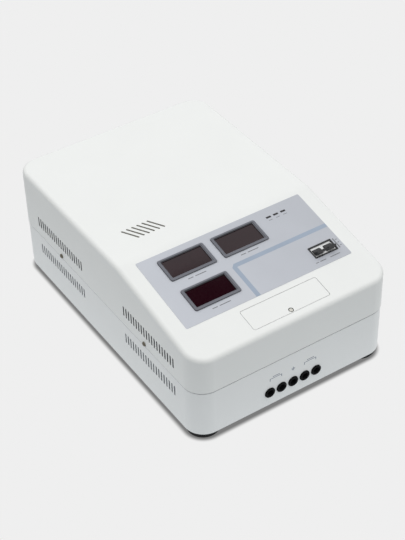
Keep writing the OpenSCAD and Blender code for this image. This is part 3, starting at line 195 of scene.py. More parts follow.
class PanelSizes(bpy.types.PropertyGroup):
    width: length("Width", "Width of the printed panel", 260.5)
    back: length("Back", "Distance from the crease to the panel", 8)
    length: length("Length", "Length of the panel down the slope", 123)
    sink: length("Sink", "Depth of the recess that the panel lies in", 0.5)
    proud: length("Proud", "How far the panel stands above its recess's rim", 0.3)
    display_w: length("Display width", "Width of a display's frame", 71)
    display_h: length("Display height", "Height of a display's frame", 38.2)
    display_shift: length("Frame shift", "How far a frame's outer edge lies off its window", 0.8)
    lamp_w: length("Lamp width", "Length of an indicator lamp", 7.6)
    lamp_h: length("Lamp height", "Width of an indicator lamp", 3)
    lamp_pitch: length("Lamp pitch", "Distance from lamp to lamp", 11.8)
    window_w: length("Window width", "Width of the breaker window's frame", 37.4)
    window_h: length("Window height", "Height of the breaker window's frame", 20)
    band: length("Band", "Width of the printed band", 6.5)
    ink: length("Ink", "Thickness of the printed film", 0.06)


class Finishes(bpy.types.PropertyGroup):
    white: paint("Case white", "Moulded white of the upper case", 0.83, 0.845, 0.832)
    white_lower: paint("Lower white", "Moulded white of the lower case", 0.845, 0.86, 0.855)
    panel: paint("Panel grey", "Printed ground of the panel", 0.505, 0.527, 0.575)
    band: paint("Band blue", "Printed band on the panel", 0.32, 0.385, 0.48)
    ink: paint("Ink", "Thin printed rules", 0.17, 0.175, 0.19)
    bezel: paint("Frame grey", "Frames of the displays", 0.135, 0.142, 0.168)
    lens: paint("Lens", "Tinted windows of the displays", 0.016, 0.003, 0.006)
    rubber: paint("Rubber", "Feet and pads", 0.012, 0.012, 0.013)
    blue_board: paint("Relay blue", "Relays on the display board", 0.02, 0.09, 0.35)
    copper: paint("Copper", "Enamelled copper wire", 0.62, 0.24, 0.09)


class StageSettings(bpy.types.PropertyGroup):
    view_place: vector("Camera place", "Where the camera stands", "TRANSLATION",
                       -0.8079526, -1.2732524, 1.3341814, unit="LENGTH")
    view_turn: vector("Camera turn", "How the camera is turned", "EULER",
                      0.8696401, 0.0203891, -0.5867208)
    focal: amount("Focal length", "Focal length in millimetres", 93.784)
    floor: paint("Floor", "Pale floor and backdrop", 0.863, 0.863, 0.863)
    floor_reach: length("Floor reach", "Half the width of the floor", 6000)
    sheet: paint("Floor sheet", "Light that the sheet round the object throws back",
                 0.535, 0.575, 0.605)
    room: amount("Room", "Light from the floor beyond the sheet", 0.16)
    sheet_middle: vector("Sheet middle", "Middle of the pale sheet", "XYZ", -0.08, -0.12,
                         unit="LENGTH")
    sheet_even: share("Even sheet", "Share of the sheet's reach over which it is even", 0.35)
    sheet_reach: length("Sheet reach", "Distance at which the sheet has ended", 900)
    # the floor's painted shadow under the case: its reach out and in, and the light left in it
    shade_out: length("Shade outside", "How far the shade under the case reaches out of it", 5.1)
    shade_in: length("Shade inside", "How far under the case the shade is full", 2.9)
    least: share("Least light", "Share of the floor's light left under the case", 0.23)
    sky: amount("Sky", "Strength of the soft light from above", 1.13)
    sky_height: share("Sky height", "Height from which the sky is at full strength", 0.55)
    horizon: amount("Horizon", "Strength of the light from low down", 0.62)
    shade: share("Camera side", "Share of light that the camera's side lacks", 0.62)


def sizes():
    return bpy.context.scene.regulator_case


def panel_sizes():
    return bpy.context.scene.regulator_panel


# Mesh helpers

class Form:
    """Faces gathered into one mesh"""

    def __init__(self):
        self.points = []
        self.faces = []

    def ring_faces(self, first, second, count):
        for i in range(count):
            j = (i + 1) % count
            self.faces.append((first + i, first + j, second + j, second + i))

    def loft(self, rings, place=Matrix(), closed=False):
        """Joins rings of equal count; both ends are capped unless the last ring meets the first"""
        count = len(rings[0])
        starts = []
        for ring in rings:
            starts.append(len(self.points))
            self.points += [place @ Vector(p) for p in ring]
        for a, b in zip(starts, starts[1:]):
            self.ring_faces(a, b, count)
        if closed:
            self.ring_faces(starts[-1], starts[0], count)
        else:
            self.faces.append(tuple(reversed(range(starts[0], starts[0] + count))))
            self.faces.append(tuple(range(starts[-1], starts[-1] + count)))
        return self

    def piece(self, name, *materials, smooth=True):
        mesh = bpy.data.meshes.new(name)
        mesh.from_pydata([tuple(p) for p in self.points], [], self.faces)
        mesh.update()
        mesh.polygons.foreach_set("use_smooth", [smooth] * len(mesh.polygons))
        for material in materials:
            mesh.materials.append(material)
        return put(name, mesh)


def put(name, data):
    """A new object in the scene"""
    piece = bpy.data.objects.new(name, data)
    bpy.context.scene.collection.objects.link(piece)
    return piece


def rounded(w, l, r, z, steps=6):
    """Ring of a rectangle with round corners at height z, counter-clockwise, in metres"""
    ring = []
    r = max(min(r, w / 2, l / 2), LEAST_RADIUS)
    for turn, (x, y) in enumerate(((1, 1), (-1, 1), (-1, -1), (1, -1))):
        for k in range(steps + 1):
            a = QUARTER * (turn + k / steps)
            ring.append((x * (w / 2 - r) + r * math.cos(a), y * (l / 2 - r) + r * math.sin(a), z))
    return ring


def slabs(profile, steps=6):
    """Rings of rectangles with round corners: width, length, radius and height of each in mm"""
    return [rounded(*(v * MM for v in values), steps) for values in profile]


def circles(profile, count=48):
    """Rings round the Z axis: radius and height of each in mm"""
    turns = [2 * math.pi * k / count for k in range(count)]
    return [[(r * MM * math.cos(a), r * MM * math.sin(a), z * MM) for a in turns]
            for r, z in profile]


def block(w, l, r, low, high, place, steps=6):
    """Tool for a slab cut or joined on, sizes in mm"""
    return Form().loft(slabs([(w, l, r, low), (w, l, r, high)], steps), place).piece("tool")


def boss(d, low, high, place, count=32):
    """Round tool, sizes in mm, along the Z axis of its place"""
    return Form().loft(circles([(d / 2, low), (d / 2, high)], count), place).piece("tool")


def on_slope(x=0, s=0):
    """Place on the sloping top: x mm across and s mm down from the crease"""
    c = sizes()
    return (Matrix.Translation((0, c.run - c.length / 2, c.top))
            @ Matrix.Rotation(c.slope, 4, "X") @ Matrix.Translation((x * MM, -s * MM, 0)))


def upright(x, y, z):
    """Place whose Z axis points to the front and whose Y axis points up"""
    return Matrix.Translation((x, y, z)) @ Matrix.Rotation(QUARTER, 4, "X")


def four(x, y):
    """The four places at +-x and +-y"""
    return [(a * x, b * y) for a in (-1, 1) for b in (-1, 1)]


def bake(piece):
    """Turns a piece with live modifiers into a plain mesh under the same name"""
    name = piece.name
    bpy.context.view_layer.update()
    evaluated = piece.evaluated_get(bpy.context.evaluated_depsgraph_get())
    mesh = bpy.data.meshes.new_from_object(evaluated)
    bpy.data.objects.remove(piece)
    mesh.name = name
    return put(name, mesh)


def combine(piece, tool, how="DIFFERENCE"):
    """Cuts a tool out of a piece, or joins it on, and bakes the result"""
    step = piece.modifiers.new("combine", "BOOLEAN")
    step.object = tool
    step.operation = how
    step.solver = "MANIFOLD"
    piece = bake(piece)
    bpy.data.objects.remove(tool)
    return piece


def merged(name, pieces):
    """One mesh of several pieces that don't touch"""
    form = Form()
    for piece in pieces:
        start = len(form.points)
        form.points += [v.co.copy() for v in piece.data.vertices]
        form.faces += [tuple(start + i for i in face.vertices) for face in piece.data.polygons]
        bpy.data.objects.remove(piece)
    return form.piece(name)


# Nodes

class Nodes:
    """Maker of nodes in one tree; each input is given a socket to link or a value"""

    def __init__(self, tree, clear=False):
        self.tree = tree
        if clear:
            tree.nodes.clear()

    def add(self, kind, links=(), **settings):
        node = self.tree.nodes.new(kind)
        for key, value in settings.items():
            setattr(node, key, value)
        for socket, value in dict(links).items():
            if isinstance(value, bpy.types.NodeSocket):
                self.tree.links.new(value, node.inputs[socket])
            else:
                node.inputs[socket].default_value = value
        return node

    def out(self, kind, links=(), output=0, **settings):
        """A new node's output"""
        return self.add(kind, links, **settings).outputs[output]

    def math(self, how, *values, **settings):
        """Result of one step of arithmetic"""
        return self.out("ShaderNodeMath", enumerate(values), operation=how, **settings)

    def vector(self, how, *values, output=0):
        """Result of one step with vectors; a plain number is its output Value"""
        return self.out("ShaderNodeVectorMath", enumerate(values), output, operation=how)

    def scaled(self, vector, factor):
        return self.out("ShaderNodeVectorMath", {0: vector, "Scale": factor}, operation="SCALE")

    def remap(self, value, start, end, first, last, how="LINEAR"):
        """Takes start..end to first..last"""
        return self.out("ShaderNodeMapRange", {"Value": value, "From Min": start, "From Max": end,
                                               "To Min": first, "To Max": last},
                        interpolation_type=how)


def geometry_tree(name, build, **inputs):
    """The geometry tree of that name; it is built once, with the given kinds of inputs"""
    if name in bpy.data.node_groups:
        return bpy.data.node_groups[name]
    tree = bpy.data.node_groups.new(name, "GeometryNodeTree")
    for way in ("INPUT", "OUTPUT"):
        tree.interface.new_socket("Geometry", in_out=way, socket_type="NodeSocketGeometry")
    for label, kind in inputs.items():
        tree.interface.new_socket(label, in_out="INPUT", socket_type="NodeSocket" + kind)
    n = Nodes(tree)
    n.add("NodeGroupOutput", {0: build(n, n.add("NodeGroupInput").outputs)})
    return tree


def placed(n, given, points, **turn):
    """Copies of the given shape on points, made real and dressed with the given material"""
    shape = n.out("GeometryNodeObjectInfo", {"Object": given["Shape"]}, "Geometry")
    copies = n.out("GeometryNodeInstanceOnPoints", {"Points": points, "Instance": shape, **turn})
    real = n.out("GeometryNodeRealizeInstances", {0: copies})
    return n.out("GeometryNodeSetMaterial", {"Geometry": real, "Material": given["Material"]})


def row_nodes(n, given):
    """Copies of a shape in a line"""
    line = n.out("GeometryNodeMeshLine", {"Count": given["Count"],
                                          "Start Location": given["Start"],
                                          "Offset": given["Step"]})
    return placed(n, given, line)


def seat_nodes(n, given):
    """A shape on every point of the mesh, its Z axis along the point's facing"""
    facing = n.out("GeometryNodeInputNamedAttribute", {"Name": "facing"},
                   data_type="FLOAT_VECTOR")
    aim = n.out("FunctionNodeAlignRotationToVector", {"Vector": facing}, axis="Z")
    return placed(n, given, given["Geometry"], Rotation=aim)


def soften_nodes(n, given):
    """Joins loose triangles, shades them smooth and keeps hard edges sharp"""
    joined = n.out("GeometryNodeMergeByDistance", {"Geometry": given["Geometry"],
                                                   "Distance": given["Distance"]})
    hard = n.math("LESS_THAN", n.out("GeometryNodeInputMeshEdgeAngle"), given["Angle"])
    faces = n.out("GeometryNodeSetShadeSmooth", {"Geometry": joined}, domain="FACE")
    return n.out("GeometryNodeSetShadeSmooth", {"Geometry": faces, "Shade Smooth": hard},
                 domain="EDGE")


def apply_tree(piece, tree, **inputs):
    """Adds the tree as a modifier, with its named inputs set before it is evaluated"""
    step = piece.modifiers.new(tree.name, "NODES")
    step.node_group = tree
    sockets = {s.name: s.identifier for s in tree.interface.items_tree if s.in_out == "INPUT"}
    for name, value in inputs.items():
        step[sockets[name]] = value


def even_shading(piece, distance, degrees):
    """Joins what lies within the distance and keeps edges sharper than the angle"""
    tree = geometry_tree("Soften", soften_nodes, Distance="Float", Angle="Float")
    apply_tree(piece, tree, Distance=distance, Angle=math.radians(degrees))


def repeated(holder, shape, tree, **inputs):
    """Copies of a shape by the tree, as one plain mesh; the shape is used up"""
    apply_tree(holder, tree, Shape=shape, **inputs)
    result = bake(holder)
    bpy.data.objects.remove(shape)
    return result


def row(name, shape, count, start, step, material=None):
    """A row of a shape, from its start on by equal steps"""
    tree = geometry_tree("Row", row_nodes, Shape="Object", Count="Int", Start="Vector",
                         Step="Vector", Material="Material")
    holder = put(name, bpy.data.meshes.new(name))
    return repeated(holder, shape, tree, Count=count, Start=start, Step=step, Material=material)


def seats(name, shape, places, material=None):
    """A shape on each (point, facing)"""
    mesh = bpy.data.meshes.new(name)
    mesh.from_pydata([p for p, _ in places], [], [])
    facing = mesh.attributes.new("facing", "FLOAT_VECTOR", "POINT")
    for item, (_, direction) in zip(facing.data, places):
        item.vector = direction
    tree = geometry_tree("Seats", seat_nodes, Shape="Object", Material="Material")
    return repeated(put(name, mesh), shape, tree, Material=material)


# Finishes

# Values of the finishes that paint shade on the walls of slots and gaps, in the order of the table
# below
SHADE = (0.6, 0, 0.1, 200, 0.1)

FINISHES = {
    # name: colour or its name in the settings, roughness, metal, then how far the colour
    # changes, how fine its patches are, the relief, and other values by name
    "moulded white": ("white", 0.42, 0, 0.008, 14, 0.1, dict(rough_vary=0.05)),
    "moulded white lower": ("white_lower", 0.45, 0, 0.008, 14, 0.1),
    "cover white": ("white", 0.42, 0, 0.008, 14, 0.1),
    # painted shade: the walls of the vent slots, the slits, the gap round the terminal cover and
    # the seam's groove are darker than the white
    "upper slot shade": ((0.17, 0.172, 0.178), *SHADE),
    "lower slot shade": ((0.40, 0.42, 0.44), *SHADE),
    "slit shade": ((0.5, 0.49, 0.45), *SHADE),
    "gap shade": ((0.52, 0.53, 0.52), *SHADE),
    "seam shade": ((0.52, 0.53, 0.54), *SHADE),
    # painted shade in the seat round the cover's screw
    "screw seat": ((0.09, 0.09, 0.08), 0.6),
    # painted light: the panel's tone is lighter to the left
    "panel grey": ("panel", 0.34, 0, 0.015, 25, 0.04, dict(grain=2600, fade=0.5)),
    "printed blue": ("band", 0.34, 0, 0.03, 40, 0.04, dict(grain=2600)),
    "printed ink": ("ink", 0.4, 0, 0.05, 200, 0.03),
    "front ink": ((0.17, 0.205, 0.265), 0.45, 0, 0.08, 300, 0.02),
    "display frame grey": ("bezel", 0.36, 0, 0.03, 80, 0.06),
    # the frames' sides: their grey darkened as painted shade
    "display frame side": ("bezel", 0.4, 0, 0.05, 80, 0.06, dict(dim=0.36)),
    "tinted window": ("lens", 0.05, 0, 0.1, 30, 0.003, dict(grain=300, rough_vary=0.01, IOR=1.42)),
    "smoked lamp": ((0.03, 0.028, 0.032), 0.18, 0, 0.15, 300, 0.02),
    "breaker white": ((0.84, 0.85, 0.85), 0.32, 0, 0.015, 60, 0.05),
    "black moulding": ((0.016, 0.016, 0.018), 0.38, 0, 0.12, 120, 0.12),
    "black rubber": ("rubber", 0.8, 0, 0.2, 160, 0.3, dict(grain=1300, Specular_IOR_Level=0.3)),
    "grommet rubber": ((0.006, 0.006, 0.0065), 0.85, 0, 0.2, 160, 0.3,
                       dict(Specular_IOR_Level=0.12)),
    "zinc plate": ((0.52, 0.53, 0.54), 0.4, 1, 0.08, 90, 0.05),
    "plated screw": ((0.16, 0.143, 0.11), 0.28, 1, 0.25, 700, 0.04),
    "bright plate": ((0.83, 0.82, 0.77), 0.5, 0.5, 0.1, 500),
    "bright steel": ((0.62, 0.62, 0.61), 0.26, 1, 0.06, 30, 0.08, dict(stretch=(1, 1, 6))),
    "block moulding": ((0.02, 0.022, 0.026), 0.42, 0, 0.1, 90, 0.15),
    "terminal brass": ((0.72, 0.50, 0.20), 0.3, 1, 0.08, 400),
    "core steel": ((0.22, 0.23, 0.25), 0.45, 0.85, 0.1, 120, 0.3, dict(stretch=(1, 1, 25))),
    "board green": ((0.015, 0.09, 0.035), 0.4, 0, 0.15, 400),
    "relay blue": ("blue_board", 0.35, 0, 0.05, 200),
    "capacitor sleeve": ((0.015, 0.02, 0.05), 0.28, 0, 0.1),
    "enamelled copper": ("copper", 0.3, 0.9, 0.12, 60, 0.1),
    "phenolic brown": ((0.11, 0.045, 0.02), 0.5, 0, 0.2, 150, 0.2),
    "bush bronze": ((0.50, 0.32, 0.14), 0.35, 1, 0.1, 300),
    "arm alloy": ((0.58, 0.59, 0.60), 0.42, 1, 0.06, 200, 0.15),
    "carbon": ((0.018, 0.018, 0.02), 0.55, 0, 0.2, 500, 0.3),
    "spring bronze": ((0.60, 0.42, 0.22), 0.28, 1, 0.08),
    "gear nylon": ((0.66, 0.63, 0.54), 0.48, 0, 0.04, 100),
    "motor plate": ((0.44, 0.45, 0.45), 0.36, 1, 0.08, 150, 0.08, dict(stretch=(1, 1, 8))),
    "coil tape": ((0.55, 0.42, 0.12), 0.4, 0, 0.12, 80, 0.2, dict(stretch=(1, 1, 12))),
}

CARRIED = {
    # group: finish, edge rounding in mm and CAD nodes
    "panel": (("panel grey", 0.15, "control_panel"),),
    "displays": (("tinted window", 0.2, "display_lenses"),
                 ("black moulding", 0.3, "digit_modules")),
    "breakers": (("breaker white", 0.4, "bypass_breaker regulator_breaker"),
                 ("black moulding", 0.7, "bypass_toggle regulator_toggle")),
    "terminals": (("block moulding", 0.3, "terminal_block"),
                  ("terminal brass", 0.15, "terminal_screws"),
                  ("bright plate", 0.15, "cover_screw")),
    "screws": (
        ("zinc plate", 0.1, "breaker_rail"),
        ("zinc plate", 0.15, "board_screws motor_screws"),
        ("zinc plate", 0.2, "foot_nuts foot_screws bracket_screws block_screws bridge_screws"),
        ("zinc plate", 0.2, "fan_screws series_bolts series_screws contactor_screws"),
        ("zinc plate", 0.2, "breaker_bracket motor_bridge series_brackets"),
        ("zinc plate", 0.25, "chassis_plate"),
        ("zinc plate", 0.3, "hub_bolts"),
        ("bright steel", 0.2, "motor_shaft"),
        ("bright steel", 0.3, "bridge_posts brush_shaft"),
    ),
    "inner parts": (
        ("board green", 0.1, "display_board"),
        ("relay blue", 0.3, "board_relays"),
        ("capacitor sleeve", 0.5, "board_capacitors"),
        ("black rubber", 0.3, "core_pad"),
        ("core steel", 0.3, "toroid_core"),
        ("core steel", 0.2, "series_core"),
        ("enamelled copper", 0.15, "toroid_winding"),
        ("phenolic brown", 0.4, "hub_spool"),
        ("bush bronze", 0.3, "shaft_bushes"),
        ("arm alloy", 0.4, "brush_arm"),
        ("carbon", 0.2, "carbon_brush"),
        ("spring bronze", 0.0, "brush_spring"),
        ("gear nylon", 0.15, "driven_gear drive_pinion"),
        ("motor plate", 0.4, "servo_motor"),
        ("coil tape", 0.6, "series_coil"),
        ("black moulding", 0.2, "limit_switches fan_rotor"),
        ("black moulding", 0.3, "fan_frame"),
        ("black moulding", 0.5, "contactor"),
    ),
}


def finish(name):
    """The material of that name, built from its row of the table when it is first asked for"""
    if name in bpy.data.materials:
        return bpy.data.materials[name]
    colour, *values = FINISHES[name]
    others = values.pop() if isinstance(values[-1], dict) else {}
    if isinstance(colour, str):
        colour = getattr(bpy.context.scene.regulator_finish, colour)
    return surface(name, colour, *values, **others)


def surface(name, colour, rough, metal=0, vary=0.04, patch=30, bump=0.08, grain=1800,
            rough_vary=0.06, stretch=(1, 1, 1), fade=0, dim=1, **shader_values):
    """Procedural finish: patches shift the colour a little, a finer grain shifts gloss and height,
    the tone may carry a painted gradient of light that makes it lighter to the left, and the
    colour may be darkened as painted shade"""
    material = bpy.data.materials.new(name)
    material.use_nodes = True
    n = Nodes(material.node_tree)
    shader = n.tree.nodes["Principled BSDF"]
    where = n.out("ShaderNodeTexCoord", output="Object")
    mapped = n.out("ShaderNodeMapping", {"Vector": where, "Scale": stretch})
    patches, grains = (
        n.out("ShaderNodeTexNoise", {"Vector": mapped, "Scale": scale, "Detail": detail}, "Fac")
        for scale, detail in ((patch, PATCH_DETAIL), (grain, GRAIN_DETAIL)))
    tone = n.remap(patches, *NOISE_RANGE, 1 - vary, 1 + vary)
    # painted light: a gradient that makes the tone lighter to the left
    if fade:
        across = n.out("ShaderNodeSeparateXYZ", {0: where}, "X")
        tone = n.math("MULTIPLY_ADD", across, -fade, tone)
    relief = n.out("ShaderNodeBump", {"Height": grains, "Strength": bump, "Distance": RELIEF})
    # the colour may be darkened as painted shade
    for socket, value in (
            ("Base Color", n.scaled(tuple(v * dim for v in colour), tone)),
            ("Roughness", n.remap(grains, *NOISE_RANGE, rough - rough_vary, rough + rough_vary)),
            ("Normal", relief)):
        n.tree.links.new(value, shader.inputs[socket])
    shader.inputs["Metallic"].default_value = metal
    for socket, value in shader_values.items():
        shader.inputs[socket.replace("_", " ")].default_value = value
    return material


def soften(node, material, rounding, degrees=30):
    """Gives a CAD node its finish, and rounds its edges with live modifiers"""
    piece = NODES[node]
    if not piece.material_slots:
        piece.data.materials.append(material)
    for slot in piece.material_slots:
        slot.material = material
    even_shading(piece, JOINED, degrees)
    if rounding:
        step = piece.modifiers.new("Edge rounding", "BEVEL")
        step.width = rounding * MM
        step.segments = 2
        step.limit_method = "ANGLE"
        step.angle_limit = math.radians(degrees)
        step.harden_normals = False
        step.miter_outer = "MITER_ARC"
    piece.modifiers.new("Even shading", "WEIGHTED_NORMAL").keep_sharp = True


def soften_group(group):
    """Finishes the CAD nodes of one group of the table"""
    for name, rounding, nodes in CARRIED[group]:
        for node in nodes.split():
            soften(node, finish(name), rounding)


def set_material(piece, *names, chosen=None):
    """Finishes of a piece; each face's number is chosen by its middle and facing"""
    piece.data.materials.clear()
    for name in names:
        piece.data.materials.append(finish(name))
    picks = [int(chosen(face.center, face.normal)) if chosen else 0
             for face in piece.data.polygons]
    piece.data.polygons.foreach_set("material_index", picks)


def dress(piece, body, slot, *nodes):
    """Seats a finished piece on its body and hides the nodes that it stands for; the slot is not
    used
    """
    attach(piece, body)
    if nodes:
        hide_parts(*nodes)
    return piece


def weigh(piece, degrees=35):
    """Even shading for a baked piece: hard edges stay sharp, large faces stay flat"""
    even_shading(piece, 0.002 * MM, degrees)
    piece.modifiers.new("Even shading", "WEIGHTED_NORMAL").keep_sharp = True
    return bake(piece)


# Case

def crease_span():
    """Along Y, the middle of the crease and how far its arc reaches to each side"""
    c = sizes()
    lean = math.tan(c.slope / 2)
    return c.run - c.length / 2 + c.edge * lean, c.crease * lean


def crown(y):
    """Height of the middle line of the top's rounding at y, and the tilt of the top there"""
    c = sizes()
    turn, reach = crease_span()
    level = c.top - c.edge
    if y >= turn + reach:
        return level, 0.0
    bend = (turn + reach - y) / c.crease
    if bend >= math.sin(c.slope):
        return level - (turn - y) * math.tan(c.slope), c.slope
    tilt = math.asin(bend)
    return level - c.crease * (1 - math.cos(tilt)), tilt


def case_columns(corner_steps=12, crease_steps=8):
    """Middle line of the rounding from the front, round the left, to the rear: x, y and the
    direction outwards"""
    c = sizes()
    sweep = c.corner - c.edge
    x0, y0 = c.width / 2 - c.corner, c.length / 2 - c.corner
    turn, reach = crease_span()

    def corner(y, first):
        turns = [QUARTER * (first + k / corner_steps) for k in range(corner_steps + 1)]
        return [(-x0 - sweep * math.sin(a), y - sweep * math.cos(a), -math.sin(a), -math.cos(a))
                for a in turns]
    crease = [(-x0 - sweep, turn - reach + 2 * reach * k / crease_steps, -1.0, 0.0)
              for k in range(crease_steps + 1)]
    return corner(-y0, 0) + crease + corner(y0, 1)


def upper_shell(arc_steps=8, chamfer=0.5 * MM):
    """Closed shell of the upper moulding, open below"""
    c = sizes()
    left = case_columns()
    loop = left + [(-x, y, -nx, ny) for x, y, nx, ny in reversed(left)]
    form = Form()
    for x, y, nx, ny in loop:
        z, tilt = crown(y)
        middle, side = Vector((x, y, z)), Vector((nx, ny, 0))
        up = Vector((0, -math.sin(tilt), math.cos(tilt)))
        outer, inner = ([middle + radius * side.slerp(up, k / arc_steps)
                         for k in range(arc_steps + 1)] for radius in (c.edge, c.edge - c.wall))
        foot = outer[0]
        column = outer[::-1] + [
            Vector((foot.x, foot.y, c.seam + chamfer)),
            Vector((foot.x - nx * chamfer, foot.y - ny * chamfer, c.seam)),
            Vector((inner[0].x, inner[0].y, c.seam))] + inner
        form.points += column
    rows, count = len(column), len(loop)
    for i in range(count):
        a, b = i * rows, (i + 1) % count * rows
        form.faces += [(a + r, b + r, b + r + 1, a + r + 1) for r in range(rows - 1)]
    for i in range(len(left) - 1):
        a, b, e, d = (n * rows for n in (i, i + 1, count - 2 - i, count - 1 - i))
        form.faces += [(a, d, e, b), tuple(n + rows - 1 for n in (a, b, e, d))]
    return form.piece("upper_moulding")


def slot_shape(width, long, wall):
    """Cutter of one slot along Y, out along Z, with a small bevel at the surface"""
    bevel, r = 0.08 * MM, 0.45 * width
    return Form().loft([
        rounded(width, long, r, -wall - MM, 3), rounded(width, long, r, -bevel, 3),
        rounded(width + 4 * bevel, long + 4 * bevel, r + 2 * bevel, bevel, 3)]).piece("slot")


def side_vents(z, skin):
    """Cutters of the vent groups in both sides at height z, in a wall whose skin is at +-skin"""
    c = sizes()
    rows = []
    for side, middle in [(a, b) for a in (-1, 1) for b in (-c.vent_front, c.vent_rear)]:
        shape = slot_shape(c.vent_width, c.vent_length, c.wall)
        # out to the side, with the slot's length upright
        shape.data.transform(Matrix.Rotation(side * QUARTER, 4, "Y")
                             @ Matrix.Rotation(QUARTER, 4, "Z"))
        first = middle - (c.vent_count - 1) / 2 * c.vent_pitch
        rows.append(row("vents", shape, c.vent_count, (side * skin, first, z),
                        (0, c.vent_pitch, 0)))
    return rows


def slot_wall(skin):
    """Number of the finish for painted shade: 1 on the walls of the vent slots, 2 on those of the
    top's slits
    """
    c = sizes()

    def chosen(middle, facing):
        # in a side wall, at a row's height, and off the rounded corners
        if (skin - c.wall < abs(middle.x) < skin - SKIN_DEPTH
                and abs(abs(middle.z - c.seam) - c.vent_rise) < c.vent_length * VENT_REACH_SHARE):
            return abs(middle.y) < c.length * VENT_SPAN_SHARE and abs(facing.x) < SIDEWAYS
        # in the flat top, on its left
        return 2 * (abs(middle.z - c.top + c.wall / 2) < c.wall * SLIT_REACH_SHARE
                    and abs(facing.z) < SIDEWAYS and middle.x < SLITS_RIGHT)
    return chosen


def upper_walls():
    """Number of the finish on the upper moulding: as slot_wall, and 3 for painted shade round the
    terminal cover
    """
    slots = slot_wall(sizes().width / 2)
    local = on_slope(*COVER).inverted()
    turn = local.to_3x3()

    def chosen(middle, facing):
        at = local @ middle / MM
        if (abs(at.x) < COVER_W / 2 + 1 and abs(at.y) < COVER_L / 2 + 1 and -1.9 < at.z < 0
                and (turn @ facing).z < 0.9):
            return 3
        return slots(middle, facing)
    return chosen


def lower_walls(skin):
    """Number of the finish on the lower moulding: as slot_wall, and 2 for painted shade in the
    groove at the seam
    """
    seam, slots = sizes().seam, slot_wall(skin)

    def chosen(middle, facing):
        return 2 if -1.45 < (middle.z - seam) / MM < 0.01 else slots(middle, facing)
    return chosen


def lamp_columns():
    """Across the slope, the places of the three lamps in mm"""
    return [LAMPS[0] + k * panel_sizes().lamp_pitch / MM for k in (-1, 0, 1)]


class REGULATOR_OT_upper_case(bpy.types.Operator):
    """Builds the upper moulding with its vents, slits and openings"""
    bl_idname = "regulator.upper_case"
    bl_label = "Upper Case"

    def execute(self, context):
        c, p = sizes(), panel_sizes()
        w, l, r = COVER_W, COVER_L, COVER_R
        cover, screw = on_slope(*COVER), on_slope(*COVER_SCREW)
        # ledge and screw boss under the terminal cover
        shell = combine(upper_shell(), block(w + 8, l + 4, r, -5, -2.5, cover), "UNION")
        shell = combine(shell, boss(COVER_BOSS, -11, -4.5, screw), "UNION")

        tools = side_vents(c.seam + c.vent_rise, c.width / 2)
        slit = slot_shape(c.slit_width, c.slit_length, c.wall)
        slit.data.transform(Matrix.Rotation(c.slit_slant, 4, "Z"))
        first = -c.width / 2 + c.slit_side - (c.slit_count - 1) / 2 * c.slit_pitch
        start = (first, c.run - c.length / 2 + c.slit_back, c.top)
        tools.append(row("slits", slit, c.slit_count, start, (c.slit_pitch, 0, 0)))
        shell = combine(shell, merged("vent_tools", tools))

        recess = block(p.width / MM + 0.1, p.length / MM + 0.1, 2, -p.sink / MM, 3,
                       on_slope(0, (p.back + p.length / 2) / MM))
        shell = combine(shell, recess)
        holes = [block(*DISPLAY_HOLE, -6, 3, on_slope(*place)) for place in DISPLAYS]
        holes += [block(*LAMP_HOLE, -6, 3, on_slope(x, LAMPS[1]), 1) for x in lamp_columns()]
        holes.append(block(*BREAKER_HOLE, -6, 3, on_slope(*WINDOW)))
        for x, y in four(c.width / 2, CASE_SCREW_Y):
            aim = Matrix.Rotation(math.copysign(QUARTER, x), 4, "Y")
            place = Matrix.Translation((x, y, CASE_SCREW_Z)) @ aim
            holes.append(boss(SCREW_HOLE, -4.5, 1, place))
        shell = combine(shell, merged("hole_tools", holes))

        # seat, opening and screw hole of the terminal cover
        seat = Form().loft(slabs([(w + 0.7, l + 0.7, r + 0.35, -2),
                                  (w + 0.7, l + 0.7, r + 0.35, -0.25),
                                  (w + 2.2, l + 2.2, r + 1.1, 0.5)]), cover)
        shell = combine(shell, seat.piece("tool"))
        opening = block(w - 8, l - 8, r, -7, 1, cover)
        shell = combine(shell, combine(opening, boss(COVER_BOSS, -14, 2, screw)))
        shell = weigh(combine(shell, boss(COVER_HOLE, -14, 1, screw)))
        # the walls of the vents, the slits and the cover's gap get painted shade
        set_material(shell, "moulded white", "upper slot shade", "slit shade", "gap shade",
                     chosen=upper_walls())
        dress(shell, "case", "case_white", "upper_case")
        return {"FINISHED"}


